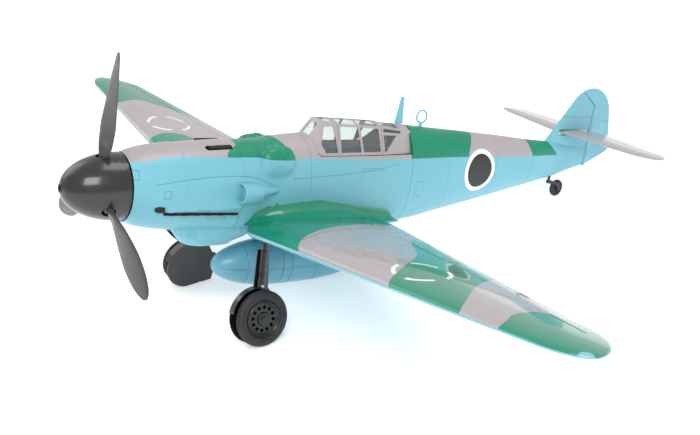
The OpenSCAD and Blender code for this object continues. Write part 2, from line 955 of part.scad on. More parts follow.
function tail_ring(x) =
    let (full = 99 - 0.245 * abs(x), c = full * tail_k(x), le = 863 + 0.145 * abs(x) + 0.4 * (full - c))
    concat(
        [for (i = [8:-1:0]) let (f = (1 - cos(22.5 * i)) / 2)
            [x, le + f * c, tailplane_z + c * half_thick(f, 0.085) + 0.3]],
        [for (i = [1:8]) let (f = (1 - cos(22.5 * i)) / 2)
            [x, le + f * c, tailplane_z - c * half_thick(f, 0.085) - 0.3]]);

module tail_solid()
    loft([for (x = [-1, -0.985, -0.94, -0.87, -0.787, 0, 0.787, 0.87, 0.94, 0.985, 1])
        tail_ring(x * tail_half_span)]);

elevator_nose = 3.4;
elevator_from = 9;
elevator_to = 166;

module elevator_plan(gap)
    for (side = [0, 1])
        mirror([side, 0, 0])
            translate([0, elevator_hinge, tailplane_z - 20])
                linear_extrude(40)
                    polygon([[elevator_from - gap, gap > 0 ? -elevator_nose - gap : 0],
                        [elevator_to + gap, gap > 0 ? -elevator_nose - gap : 0],
                        [elevator_to + gap, 60], [elevator_from + 14 - gap, 40]]);

module tailplane() color(grey)
    difference() {
        tail_solid();
        translate([-elevator_to - play, elevator_hinge - elevator_nose - play, tailplane_z - 20])
            cube([2 * (elevator_to + play), 80, 40]);
    }

module elevator() color(grey) {
    intersection() {
        tail_solid();
        elevator_plan(0);
    }
    for (side = [0, 1])
        mirror([side, 0, 0])
            translate([elevator_from, elevator_hinge, tailplane_z])
                rotate([0, 90, 0])
                    cylinder(r1 = elevator_nose, r2 = 2.6, h = elevator_to - elevator_from, $fn = 24);
    translate([0, elevator_hinge, tailplane_z])
        rotate([0, 90, 0])
            cylinder(r = 1.5, h = 2 * elevator_from + 2, center = true, $fn = 24);
}

// Side view of the fin and rudder together.
module tail_outline()
    hull() {
        translate([930, 88])
            circle(r = 54, $fn = 96);
        translate([992, 36])
            circle(r = 8);
        polygon([[834, 51], [834, 38], [rudder_hinge - 4, 4], [rudder_hinge, 4]]);
    }

module side_prism()
    rotate([90, 0, 90])
        linear_extrude(60, center = true)
            children();

// Foot of the horn balance at the hinge line, and its height at the leading edge.
horn_z = 114;
horn_lead = 134;

module horn_side(drop)
    polygon([[880, horn_lead - drop + 6], [906, horn_lead - drop], [rudder_hinge - 8, horn_z - drop],
        [rudder_hinge, horn_z - drop], [rudder_hinge, 160], [880, 160]]);

module plan_plate(z, front, rear, half)
    translate([0, 0, z])
        linear_extrude(0.1)
            polygon([[0.6, front], [half, front + 0.35 * (rear - front)], [half, rear], [-half, rear],
                [-half, front + 0.35 * (rear - front)], [-0.6, front]]);

module fin_solid(grow)
    intersection() {
        hull() {
            plan_plate(30, 826 - grow, rudder_hinge - 6.2 + 2 * grow, 6 + grow);
            plan_plate(143, 896 - grow, rudder_hinge - 6.2 + 2 * grow, 3.4 + grow);
        }
        side_prism()
            offset(delta = grow)
                tail_outline();
    }

module fin() color(sky)
    difference() {
        fin_solid(0);
        side_prism()
            horn_side(1);
        // Slot that the tailplane and the elevator's joining rod pass through
        translate([-20, 860, tailplane_z - 5.2])
            cube([40, 80, 10.4]);
    }

module rudder() color(sky)
    intersection() {
        union() {
            hull() {
                translate([0, rudder_hinge, 2])
                    cylinder(r1 = 5.4, r2 = 3.6, h = 142, $fn = 32);
                translate([-0.8, 1008, 2])
                    cube([1.6, 0.1, 142]);
            }
            // Horn balance ahead of the hinge
            hull() {
                translate([0, rudder_hinge, horn_z])
                    cylinder(r = 3.6, h = 30, $fn = 32);
                translate([-1, 886, horn_z])
                    cube([2, 0.1, 30]);
            }
        }
        side_prism()
            difference() {
                tail_outline();
                polygon([[820, -10], [rudder_hinge - 6, -10], [rudder_hinge - 6, horn_z],
                    [906, horn_lead], [880, horn_lead + 6], [820, 160]]);
            }
    }

// ---------------------------------------------------------------- landing gear

door_gap = 0.5;
door_thick = 1.2;
leg_r = 3.8;
axle_r = 2;

module gear_leg() color(black)
    leg_down() {
        difference() {
            union() {
                // Trunnion head, outer tube, collar, piston and foot
                rotate([90, 0, 0])
                    cylinder(r = 5, h = 12, center = true);
                translate([0, 0, -62])
                    cylinder(r = leg_r, h = 60);
                translate([0, 0, -64])
                    cylinder(r = leg_r + 1.2, h = 5);
                translate([0, 0, -leg_len - 3.6])
                    cylinder(r = leg_r - 0.8, h = 50);
            }
            rotate([90, 0, 0])
                cylinder(r = 1.6, h = 20, center = true);
        }
        // Stub axle
        translate([0, 0, -leg_len])
            rotate([0, 90, 0])
                cylinder(r = axle_r, h = wheel_offset + tyre_w / 2 - 1.2);
        // Torque link behind the piston
        for (part = [[-66, 9, 24], [-92, -9, -24]])
            translate([0, 3, part[0]])
                rotate([-part[2], 0, 0])
                    translate([-1.6, -1, part[1] > 0 ? -16 : 0])
                        cube([3.2, 5, 16]);
    }

door_x = -leg_r - door_gap - 1.2 - door_thick;
door_r = 37;
lip_r = 40.2;

// Side view of the door: a tapered strip beside the leg, a disc beside the wheel and a tab aft.
module door_outline() {
    hull() {
        translate([-8, -30])
            square([18, 16]);
        translate([-8, -66])
            square([22, 4]);
    }
    hull() {
        translate([-8, -68])
            square([22, 4]);
        translate([-2, -leg_len])
            circle(r = door_r);
    }
    translate([0, -leg_len])
        polygon([[20, 24], [33, 22], [39, 8], [39, -24], [23, -29], [15, -20]]);
    lip_sector(lip_r);
}

// A slice of disc in front of and above the wheel, in side view.
module lip_sector(r)
    translate([0, -leg_len])
        intersection() {
            circle(r = r, $fn = 72);
            polygon([[0, 0], [-60, 6], [-60, 60], [-8, 60]]);
        }

// The door hangs on the inboard side of the leg, held by two brackets.
module gear_door() color(black)
    leg_down()
        difference() {
            union() {
                translate([door_x, 0, 0])
                    rotate([90, 0, 90])
                        linear_extrude(door_thick)
                            door_outline();
                // Lip that turns outboard round the top and front of the tyre
                translate([door_x, 0, 0])
                    rotate([90, 0, 90])
                        linear_extrude(11)
                            difference() {
                                lip_sector(lip_r);
                                translate([0, -leg_len])
                                    circle(r = lip_r - 1.2, $fn = 72);
                            }
                for (z = [-34, -56])
                    translate([door_x + 0.6, -2, z])
                        cube([4.5, 4, 4]);
            }
            translate([0, 0, -64])
                cylinder(r = leg_r + 0.05, h = 62);
        }

module wheel() color(black)
    leg_down()
        wheel_place()
            difference() {
                rotate_extrude()
                    polygon([[0, -5.4], [24, -5.4], [24, -2.5], [26.4, -2.5], [26.4, 2.5], [24, 2.5], [24, 4.6],
                        [21, 4.6], [19.5, 2.6], [9.5, 2.6], [8, 5], [0, 5]]);
                cylinder(r = axle_r + running, h = 30, center = true);
                for (a = [0:30:330])
                    rotate(a)
                        translate([15.5, 0, 0])
                            cylinder(r = 2.6, h = 30, center = true);
            }

module tyre() color(black)
    leg_down()
        wheel_place()
            rotate_extrude($fn = 72)
                difference() {
                    translate([tyre_r - 7.5, 0])
                        scale([7.5, tyre_w / 2])
                            circle(r = 1, $fn = 32);
                    translate([0, -10])
                        square([24.1, 20]);
                    translate([0, -2.6])
                        square([26.5, 5.2]);
                }

module gear_leg_left() gear_leg();

module gear_leg_right() mirror([1, 0, 0]) gear_leg();

module gear_door_left() gear_door();

module gear_door_right() mirror([1, 0, 0]) gear_door();

module wheel_left() wheel();

module wheel_right() mirror([1, 0, 0]) wheel();

module tyre_left() tyre();

module tyre_right() mirror([1, 0, 0]) tyre();

// ---------------------------------------------------------------- tail wheel

tail_post_s = 864;
tail_post_r = 2.5;
tail_wheel_s = 887;
tail_wheel_z = -35.6;

module tail_fork() color(black) {
    difference() {
        union() {
            translate([0, tail_post_s, -24])
                cylinder(r = tail_post_r, h = 34);
            hull() {
                translate([0, tail_post_s, -26])
                    cylinder(r = 4, h = 5, $fn = 32);
                translate([-7, tail_wheel_s - 9, -29])
                    cube([14, 8, 4]);
            }
            for (x = [-7, 4.8])
                hull() {
                    translate([x, tail_wheel_s - 9, -27])
                        cube([2.2, 7, 2]);
                    translate([x, tail_wheel_s, tail_wheel_z])
                        rotate([0, 90, 0])
                            cylinder(r = 3, h = 2.2, $fn = 32);
                }
        }
        translate([0, tail_wheel_s, tail_wheel_z])
            rotate([0, 90, 0])
                cylinder(r = tail_tyre_r + 0.8, h = 9.4, center = true, $fn = 48);
    }
    translate([0, tail_wheel_s, tail_wheel_z])
        rotate([0, 90, 0])
            cylinder(r = 1.5, h = 13, center = true);
}

module tail_wheel() color(black)
    translate([0, tail_wheel_s, tail_wheel_z])
        rotate([0, 90, 0])
            difference() {
                rotate_extrude()
                    hull() {
                        translate([tail_tyre_r - 3.6, 0])
                            circle(r = 3.6, $fn = 24);
                        translate([1, -3])
                            square([4, 6]);
                    }
                cylinder(r = 1.5 + running, h = 20, center = true);
            }

module screws() color(steel)
    for (a = [45:90:315])
        translate([0, firewall_s - 6, 0])
            rotate([0, a, 0])
                translate([mount_circle, 0, 0])
                    rotate([-90, 0, 0]) {
                        cylinder(r = 2.6, h = 1.9);
                        cylinder(r = mount_bolt_r, h = 16);
                    }

// ---------------------------------------------------------------- standing on its wheels

// Where the main and tail wheels touch, and the pitch that puts both on the ground.
main_s = trunnion_s - leg_len * sin(leg_rake);
main_z = trunnion_z - leg_len * cos(leg_rake) * cos(leg_camber) + wheel_offset * sin(leg_camber);
main_low = tyre_r - 7.5 * (1 - cos(leg_camber));
axle_gap = norm([tail_wheel_s - main_s, tail_wheel_z - main_z]);
pitch = atan2(tail_wheel_z - main_z, tail_wheel_s - main_s) + asin((main_low - tail_tyre_r) / axle_gap);
ground = main_low - (main_z * cos(pitch) - main_s * sin(pitch));
nose_y = -muzzle_r * sin(pitch);
tail_y = 992 * cos(pitch) + 36 * sin(pitch) + 8;

module parked()
    translate([0, -(nose_y + tail_y) / 2, ground])
        rotate([-pitch, 0, 0])
            children();

parked() front_fuselage();
parked() rear_fuselage();
parked() joint_former();
parked() firewall();
parked() motor_mount();
parked() motor_stator();
parked() motor_bell();
parked() motor_shaft();
parked() spinner_backplate();
parked() propeller();
parked() prop_nut();
parked() spinner_cone();
parked() speed_controller();
parked() battery();
parked() battery_tray();
parked() receiver();
parked() tail_servos();
parked() cockpit_tub();
parked() pilot_seat();
parked() windscreen_frame();
parked() windscreen_glass();
parked() hood_frame();
parked() hood_glass();
parked() rear_canopy_frame();
parked() rear_canopy_glass();
parked() gun_barrels();
parked() exhaust_stacks();
parked() supercharger_scoop();
parked() antenna_mast();
parked() direction_loop();
parked() drop_tank();
parked() tank_rack();
parked() wing_left();
parked() wing_right();
parked() wing_tube();
parked() wing_servos();
parked() flap_left();
parked() flap_right();
parked() aileron_left();
parked() aileron_right();
parked() aileron_arm_left();
parked() aileron_arm_right();
parked() aileron_rod_left();
parked() aileron_rod_right();
parked() fin();
parked() rudder();
parked() tailplane();
parked() elevator();
parked() gear_leg_left();
parked() gear_leg_right();
parked() gear_door_left();
parked() gear_door_right();
parked() wheel_left();
parked() wheel_right();
parked() tyre_left();
parked() tyre_right();
parked() tail_fork();
parked() tail_wheel();
parked() screws();
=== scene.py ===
"""Looks of a radio-controlled low-wing fighter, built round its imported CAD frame.

Shapes are given in the aircraft's own axes, in millimetres: x to port, s (the station) aft from
the spinner's tip, z up from the propeller shaft. world() turns them into the frame's metres.
"""
import json
import math

import bmesh
import bpy
import numpy as np
from mathutils import Matrix, Vector

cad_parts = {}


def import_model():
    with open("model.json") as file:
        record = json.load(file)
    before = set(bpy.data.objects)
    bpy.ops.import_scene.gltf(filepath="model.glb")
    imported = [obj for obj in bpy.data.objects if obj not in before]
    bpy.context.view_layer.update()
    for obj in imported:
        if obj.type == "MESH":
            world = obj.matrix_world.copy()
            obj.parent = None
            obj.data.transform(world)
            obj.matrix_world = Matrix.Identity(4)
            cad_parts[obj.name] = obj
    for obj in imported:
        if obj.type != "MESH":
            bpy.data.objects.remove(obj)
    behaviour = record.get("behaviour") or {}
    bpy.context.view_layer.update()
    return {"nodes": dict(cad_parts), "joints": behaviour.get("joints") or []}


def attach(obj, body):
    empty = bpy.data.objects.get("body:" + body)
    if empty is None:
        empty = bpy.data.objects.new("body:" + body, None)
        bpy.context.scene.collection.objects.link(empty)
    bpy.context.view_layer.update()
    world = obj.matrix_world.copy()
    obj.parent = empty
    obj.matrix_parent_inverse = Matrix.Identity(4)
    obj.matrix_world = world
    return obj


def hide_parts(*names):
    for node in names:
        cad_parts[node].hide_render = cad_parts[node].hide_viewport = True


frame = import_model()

# ------------------------------------------------------------------ the aircraft's axes

PROP_PLANE = 50.0
joints = {j["name"]: j for j in frame["joints"]}
shaft = joints["prop_spin"]
PORT = np.array([1.0, 0.0, 0.0])
AFT = -np.array(shaft["axis"]) / np.linalg.norm(shaft["axis"])
UP = np.cross(PORT, AFT)
NOSE = np.array(shaft["pos_m"]) - AFT * PROP_PLANE / 1000


def world(points):
    """Points (x, s, z) in mm, as points of the frame in metres."""
    p = np.asarray(points, float).reshape(-1, 3) / 1000
    return NOSE + p[:, :1] * PORT + p[:, 1:2] * AFT + p[:, 2:] * UP


def turn(axis, degrees):
    return np.array(Matrix.Rotation(math.radians(degrees), 3, axis))


# Turns a shape about the local z axis into one along the shaft.
ALONG_SHAFT = np.array([[1.0, 0, 0], [0, 0, 1], [0, -1, 0]])

# ------------------------------------------------------------------ mesh building

def smooth(xs, ys, x):
    """A cubic through the points (xs, ys) that never overshoots them, at x. Columns of ys go together."""
    xs, ys, x = np.asarray(xs, float), np.asarray(ys, float), np.asarray(x, float)
    ys = ys.reshape(len(xs), -1)
    gap = np.diff(xs)[:, None]
    rise = np.diff(ys, axis=0) / gap
    slope = np.zeros_like(ys)
    same = rise[:-1] * rise[1:] > 0
    total = np.where(same, rise[:-1] + rise[1:], 1)
    slope[1:-1] = np.where(same, 2 * rise[:-1] * rise[1:] / total, 0)
    slope[0], slope[-1] = rise[0], rise[-1]
    i = np.clip(np.searchsorted(xs, x) - 1, 0, len(xs) - 2)
    h = gap[i]
    t = ((x - xs[i]) / gap[i, 0])[:, None]
    return ((1 + 2 * t) * (1 - t) ** 2 * ys[i] + t * (1 - t) ** 2 * h * slope[i]
            + t * t * (3 - 2 * t) * ys[i + 1] + t * t * (t - 1) * h * slope[i + 1])


def ease(low, high, v):
    """0 below low, 1 above high, and a smooth step between."""
    t = np.clip((v - low) / (high - low), 0, 1)
    return t * t * (3 - 2 * t)


def chord_shares(count):
    """Shares of a chord from 0 to 1, closer together at both ends."""
    return (1 - np.cos(np.linspace(0, math.pi, count))) / 2


def quarter(count, first=0.0):
    """Angles of a quarter turn."""
    return np.linspace(first, math.pi / 2, count)


def blend_max(a, b, k):
    """The larger of a and b, rounded off over a width k."""
    return (a + b + np.sqrt((a - b) ** 2 + k * k) - k) / 2


def grid(rings, caps=(True, True), closed=True):
    """Points and faces of a skin through rings of equal length."""
    rings = np.asarray(rings, float)
    count, around = rings.shape[:2]
    faces = []
    for i in range(count - 1):
        for j in range(around if closed else around - 1):
            k = (j + 1) % around
            faces.append((i * around + j, i * around + k, (i + 1) * around + k, (i + 1) * around + j))
    if caps[0]:
        faces.append(tuple(range(around))[::-1])
    if caps[1]:
        faces.append(tuple((count - 1) * around + j for j in range(around)))
    return rings.reshape(-1, 3), faces


def lathe(profile, segments=96, caps=(False, False)):
    """A surface of revolution about the local z axis, from (radius, height) pairs."""
    a = np.arange(segments) * 2 * math.pi / segments
    rings = [np.stack([r * np.cos(a), r * np.sin(a), np.full(segments, h)], 1) for r, h in profile]
    return grid(rings, caps)


def solid(profile, segments):
    """A surface of revolution closed at both ends."""
    return lathe(profile, segments, (True, True))


def ring_lathe(profile, segments=96):
    """A surface of revolution whose profile is a closed loop."""
    return lathe(list(profile) + [profile[0]], segments)


def box(low, high):
    low, high = np.array(low, float), np.array(high, float)
    points = [[(low, high)[(i >> k) & 1][k] for k in range(3)] for i in range(8)]
    return points, [(0, 2, 3, 1), (4, 5, 7, 6), (0, 1, 5, 4), (2, 6, 7, 3), (0, 4, 6, 2), (1, 3, 7, 5)]


def together(*parts):
    """Several (points, faces) in one."""
    points, faces = [], []
    for p, f in parts:
        faces += [tuple(i + len(points) for i in face) for face in f]
        points += [tuple(v) for v in np.asarray(p, float)]
    return np.array(points), faces


def moved(part, offset=(0, 0, 0), rotation=None):
    points, faces = part
    points = np.asarray(points, float)
    if rotation is not None:
        points = points @ np.asarray(rotation).T
    return points + np.array(offset, float), faces


def turned(part, rotation):
    return moved(part, (0, 0, 0), rotation)


def mirrored(part):
    points, faces = part
    return np.asarray(points, float) * (-1, 1, 1), [f[::-1] for f in faces]


SIDES = {1: "left", -1: "right"}


def sided(part, side):
    """A part of the port side, for side 1 or -1."""
    return part if side > 0 else mirrored(part)


def both_sides(*parts):
    """Parts on the port side together with their mirror images."""
    return together(*parts, *[mirrored(p) for p in parts])


def section(x, s, z):
    """The points (s, z) of a cross-section at a distance out."""
    return np.stack([np.full(len(s), float(x)), s, z], 1)


def along(start, end, radius, segments=24):
    """A round rod from start to end."""
    start, end = np.array(start, float), np.array(end, float)
    length = np.linalg.norm(end - start)
    rotation = np.array(Vector(end - start).to_track_quat("Z", "Y").to_matrix())
    return moved(solid([(radius, 0), (radius, length)], segments), start, rotation)


def linked(name, data):
    """A new object in the scene for some data."""
    obj = bpy.data.objects.new(name, data)
    bpy.context.scene.collection.objects.link(obj)
    return obj


def raw(name, part, material=None):
    """An object from (points, faces) in aircraft axes, welded, with its faces outward."""
    points, faces = part
    data = bpy.data.meshes.new(name)
    data.from_pydata(world(points).tolist(), [], [tuple(int(i) for i in f) for f in faces])
    work = bmesh.new()
    work.from_mesh(data)
    bmesh.ops.remove_doubles(work, verts=work.verts, dist=1e-6)
    bmesh.ops.dissolve_degenerate(work, dist=1e-6, edges=work.edges)
    bmesh.ops.recalc_face_normals(work, faces=work.faces)
    work.to_mesh(data)
    work.free()
    if material:
        data.materials.append(material)
    return linked(name, data)


def applied(obj):
    """obj with its modifiers worked into its mesh."""
    bpy.context.view_layer.update()
    data = bpy.data.meshes.new_from_object(obj.evaluated_get(bpy.context.evaluated_depsgraph_get()))
    obj.modifiers.clear()
    obj.data = data
    return obj


def cut(obj, part, material=None, how="DIFFERENCE"):
    """Takes part (points, faces) away from obj, or joins it on."""
    tool = raw("tool", part, material)
    step = obj.modifiers.new("cut", "BOOLEAN")
    step.operation = how
    step.object = tool
    step.solver = "EXACT"
    step.material_mode = "TRANSFER" if material else "INDEX"
    applied(obj)
    bpy.data.objects.remove(tool)
    return obj


def finish_piece(obj, body, nodes=(), angle=32):
    """Smooth shading with crisp edges, then the body that the piece rides on."""
    obj.data.polygons.foreach_set("use_smooth", [True] * len(obj.data.polygons))
    obj.data.set_sharp_from_angle(angle=math.radians(angle))
    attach(obj, body)
    if nodes:
        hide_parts(*nodes)


def piece(name, part, material, body, nodes=(), angle=32):
    finish_piece(raw(name, part, material), body, nodes, angle)


def pair(name, part, material, body, node=None, angle=32):
    """A piece for the port side and its mirror image; {} in a body or node stands for left or right."""
    for side, word in SIDES.items():
        nodes = [node.format(word)] if node else ()
        piece(f"{name}_{word}", sided(part, side), material, body.format(word), nodes, angle)


# ------------------------------------------------------------------ shader building

class Shader:
    """A material's nodes, added by calls that each return a socket."""

    def __init__(self, name):
        self.material = bpy.data.materials.new(name)
        self.material.use_nodes = True
        self.tree = self.material.node_tree
        self.tree.nodes.clear()
        where = self.add("ShaderNodeTexCoord").outputs["Object"]
        self.place = self.vector("SUBTRACT", where, tuple(NOSE))
        self.x = self.math("MULTIPLY", self.vector("DOT_PRODUCT", self.place, tuple(PORT)), 1000)
        self.s = self.math("MULTIPLY", self.vector("DOT_PRODUCT", self.place, tuple(AFT)), 1000)
        self.z = self.math("MULTIPLY", self.vector("DOT_PRODUCT", self.place, tuple(UP)), 1000)
        self.side = self.math("ABSOLUTE", self.x)

    def add(self, kind, inputs=None, **settings):
        node = self.tree.nodes.new(kind)
        for key, value in settings.items():
            setattr(node, key, value)
        for key, value in (inputs or {}).items():
            if isinstance(value, bpy.types.NodeSocket):
                self.tree.links.new(value, node.inputs[key])
            else:
                node.inputs[key].default_value = value
        return node

    def math(self, operation, a, b=0.0, c=0.0):
        return self.add("ShaderNodeMath", {0: a, 1: b, 2: c}, operation=operation).outputs[0]

    def vector(self, operation, a, b):
        node = self.add("ShaderNodeVectorMath", {0: a, 1: b}, operation=operation)
        return node.outputs["Value" if operation == "DOT_PRODUCT" else "Vector"]

    def above(self, value, edge, soft=0.35):
        """0 where value is below edge, 1 above it."""
        over = self.math("SUBTRACT", value, edge)
        return self.add("ShaderNodeMapRange", {"Value": over, "From Min": -soft, "From Max": soft},
                        interpolation_type="SMOOTHSTEP").outputs["Result"]

    def band(self, value, middle, half, soft=0.2):
        """1 within half of middle."""
        off = self.math("ABSOLUTE", self.math("SUBTRACT", value, middle))
        return self.outside(self.above(off, half, soft))

    def outside(self, mask):
        return self.math("SUBTRACT", 1.0, mask)

    def both(self, *masks):
        total = masks[0]
        for m in masks[1:]:
            total = self.math("MULTIPLY", total, m)
        return total

    def either(self, *masks):
        total = masks[0]
        for m in masks[1:]:
            total = self.math("MAXIMUM", total, m)
        return total

    def inside(self, value, low, high, soft=0.2):
        return self.both(self.above(value, low, soft), self.outside(self.above(value, high, soft)))

    def curve(self, value, points):
        """A smooth line through points (in, out)."""
        ins, outs = [p[0] for p in points], [p[1] for p in points]
        low, high = min(outs) - 1, max(outs) + 1
        share = self.add("ShaderNodeMapRange", {"Value": value, "From Min": ins[0], "From Max": ins[-1]})
        node = self.add("ShaderNodeFloatCurve", {"Value": share.outputs["Result"]})
        line = node.mapping.curves[0]
        while len(line.points) < len(points):
            line.points.new(0.5, 0.5)
        for spot, (a, b) in zip(line.points, points):
            spot.location = ((a - ins[0]) / (ins[-1] - ins[0]), (b - low) / (high - low))
            spot.handle_type = "AUTO_CLAMPED"
        node.mapping.update()
        return self.math("MULTIPLY_ADD", node.outputs["Value"], high - low, low)

    def mix(self, factor, a, b, blend="MIX"):
        node = self.add("ShaderNodeMix", {0: factor, 6: a, 7: b}, data_type="RGBA", blend_type=blend)
        return node.outputs[2]

    def toned(self, colour, level):
        """colour, darkened or lightened by a level."""
        grey = self.add("ShaderNodeCombineColor", {0: level, 1: level, 2: level}).outputs[0]
        return self.mix(1.0, colour, grey, "MULTIPLY")

    def noise(self, scale, detail=3.0, rough=0.5):
        return self.add("ShaderNodeTexNoise", {"Vector": self.place, "Scale": scale, "Detail": detail,
                                               "Roughness": rough}).outputs["Fac"]

    def bump(self, height, distance, strength=1.0, normal=None):
        inputs = {"Height": height, "Distance": distance, "Strength": strength}
        if normal:
            inputs["Normal"] = normal
        return self.add("ShaderNodeBump", inputs).outputs["Normal"]

    def spread(self, fac, low, high):
        return self.add("ShaderNodeMapRange", {"Value": fac, "From Min": 0.3, "From Max": 0.7,
                                               "To Min": low, "To Max": high}).outputs["Result"]

    def surface(self, **inputs):
        inputs = {key.replace("_", " "): value for key, value in inputs.items()}
        shader = self.add("ShaderNodeBsdfPrincipled", inputs)
        out = self.add("ShaderNodeOutputMaterial")
        self.tree.links.new(shader.outputs[0], out.inputs[0])
        return self.material


def paint(red, green, blue):
    """A colour given in display values from 0 to 255."""
    linear = [(v / 255 / 12.92) if v <= 10 else ((v / 255 + 0.055) / 1.055) ** 2.4 for v in (red, green, blue)]
    return (*linear, 1.0)


SKY = paint(114, 182, 198)
GREEN = paint(0, 132, 100)
GREY = paint(168, 160, 162)
WHITE = paint(238, 238, 234)
INK = paint(26, 26, 28)
RED = paint(196, 52, 48)
LINE_COLOUR = paint(60, 80, 90)


def shade_of(colour, k):
    return (colour[0] * k, colour[1] * k, colour[2] * k, 1.0)


# ------------------------------------------------------------------ paint schemes

# Height where the fuselage's upper colours end: station, z.
WATERLINE = [(60, 35), (102, 40), (140, 44.4), (206, 43.3), (312, 41), (397, 39), (488, 36.7), (585, 35.6),
             (692, 32), (860, 28)]
# Stations where the upper fuselage changes colour, as (height, station) lines.
FUSELAGE_BREAKS = [
    ([(30, 206), (46, 207), (56, 226), (62, 240)], GREEN),
    ([(41, 305.6), (59, 294), (68, 279)], GREY),
    ([(35.6, 512), (76.7, 501)], GREEN),
    ([(31, 633), (50, 640), (68, 652)], GREY),
    ([(24, 791), (53, 780)], GREEN),
    ([(21, 864), (43, 842), (56.7, 828)], SKY)]
# Lines on the wings where the colour changes from root to tip, as (station, distance out).
PORT_BREAKS = [
    ([(236, 180), (245, 162), (256, 151), (295, 133), (345, 118), (392, 103), (454, 85)], GREY),
    ([(240, 345), (254, 330), (274, 317), (313, 292), (343, 269), (378, 223), (407, 182)], GREEN),
    ([(240, 452), (254, 443), (276, 428), (313, 401), (340, 383), (376, 364)], GREY),
    ([(255, 495), (271, 491), (294, 481), (317, 480), (339, 486), (350, 515)], GREEN)]
STARBOARD_BREAKS = [
    ([(245, 200), (290, 165), (340, 110), (400, 85), (440, 80), (462, 85)], GREY),
    ([(270, 451), (295, 456), (331, 430), (369, 394), (385, 380)], GREEN)]
# Centres on the wings, as (distance out, station), and on the fuselage, as (station, height).
PORT_MARK = (328, 302)
STARBOARD_MARK = (339, 305)
STARBOARD_PATCH = (255, 275)
TIP_LAMP = (589, 277)
FUSELAGE_MARK = (663, 11)
# Panels scored on the fuselage's flanks: two corners as (station, height), and half the line's width.
FUSELAGE_PANELS = [((72.5, 19.6), (84, 29.6), 0.35), ((115.5, -4), (124, 5.5), 0.35),
                   ((181, -37), (208, -33.5), 0.35), ((418, 21.9), (459, 25.2), 0.25),
                   ((525, -22), (540, 2), 0.22)]
# Long lines on the flanks, as (station, height), the stations they show between, and half the line's width.
FUSELAGE_LINES = [([(104, 13), (148, 18.3), (205, 21.4), (235, 19.3), (257, 13.2), (280, 4)], 104, 280, 0.35),
                  ([(300, 14.6), (414, 19.7), (486, 29.2)], 303, 486, 0.25)]
# A round hatch on the flanks.
HATCH = (533, -51)
HATCH_R = 5.5
# Distances out of the ribs scored across the wing.
WING_JOINTS = (181.0, 372.0, 543.0)
TANK_SEAMS = (262, 315, 330, 372, 424)
# Dashed edge of the walkway at the wing root, as (station, distance out).
WALKWAY = [(256, 152), (287, 145), (332, 136), (382, 128), (423, 120)]


def painted(sh, colour, lines, rough, coat, coat_rough=0.06, grain=0.00002):
    """The finish shared by every painted moulding: grain, scored panel lines and patches of tone."""
    normal = sh.bump(sh.noise(700.0, 2.0), grain, 0.6)
    normal = sh.bump(sh.outside(lines), 0.0005, 0.8, normal)
    gloss = sh.spread(sh.noise(30.0, 3.0), rough - 0.05, rough + 0.06)
    colour = sh.mix(sh.math("MULTIPLY", lines, 0.42), colour, LINE_COLOUR)
    colour = sh.toned(colour, sh.spread(sh.noise(9.0, 4.0), 0.93, 1.035))
    return sh.surface(Base_Color=colour, Roughness=gloss, Normal=normal, Coat_Weight=coat,
                      Coat_Roughness=coat_rough, Specular_IOR_Level=0.4)


def outline_band(sh, a, b, low, high, half=0.35):
    """The four sides of a rectangle in the plane (a, b)."""
    across = sh.either(sh.band(a, low[0], half), sh.band(a, high[0], half))
    up = sh.either(sh.band(b, low[1], half), sh.band(b, high[1], half))
    return sh.either(sh.both(across, sh.inside(b, low[1], high[1])), sh.both(up, sh.inside(a, low[0], high[0])))


def circle_distance(sh, a, b, centre):
    """Distance of the point (a, b) from a centre."""
    da, db = sh.math("SUBTRACT", a, centre[0]), sh.math("SUBTRACT", b, centre[1])
    return sh.math("SQRT", sh.math("ADD", sh.math("MULTIPLY", da, da), sh.math("MULTIPLY", db, db)))


def fuselage_paint():
    sh = Shader("fuselage_paint")
    upper = sh.above(sh.z, sh.curve(sh.s, WATERLINE), 0.5)
    top = GREY
    for line, colour in FUSELAGE_BREAKS:
        top = sh.mix(sh.above(sh.s, sh.curve(sh.z, line)), top, colour)
    colour = sh.mix(upper, SKY, top)
    ring = circle_distance(sh, sh.s, sh.z, FUSELAGE_MARK)
    colour = sh.mix(sh.above(34.0, ring), colour, WHITE)
    colour = sh.mix(sh.above(27.0, ring), colour, INK)
    scored = [outline_band(sh, sh.s, sh.z, *panel) for panel in FUSELAGE_PANELS]
    scored += [sh.both(sh.band(sh.z, sh.curve(sh.s, line), half), sh.inside(sh.s, first, last))
               for line, first, last, half in FUSELAGE_LINES]
    scored.append(sh.band(circle_distance(sh, sh.s, sh.z, HATCH), HATCH_R, 0.35))
    lines = sh.either(
        sh.both(sh.either(*scored), sh.above(sh.side, 8.0)),
        sh.both(sh.band(sh.s, 332, 0.3), sh.above(sh.z, -10.0)),
        sh.both(sh.band(sh.z, 60.5, 0.3), sh.inside(sh.s, 78, 168)),
        sh.band(sh.s, 700, 0.25),
        sh.band(sh.s, 790, 0.25),
        sh.both(sh.band(sh.s, 592, 0.2), sh.above(30.0, sh.z)))
    return painted(sh, colour, lines, 0.36, 0.15, 0.2)


def wing_colours(sh, distance, breaks, mark):
    """Upper colours of one wing and its ring mark."""
    colour = GREEN
    for line, after in breaks:
        colour = sh.mix(sh.above(distance, sh.curve(sh.s, line)), colour, after)
    radius = circle_distance(sh, distance, sh.s, mark)
    gap = sh.either(sh.band(distance, mark[0], 9.0), sh.band(sh.s, mark[1], 9.0))
    arcs = sh.both(sh.band(radius, 33.0, 2.6), sh.outside(gap))
    return sh.mix(arcs, colour, WHITE)


DIHEDRAL = 7.0
WING_ROOT_Z = -60.0


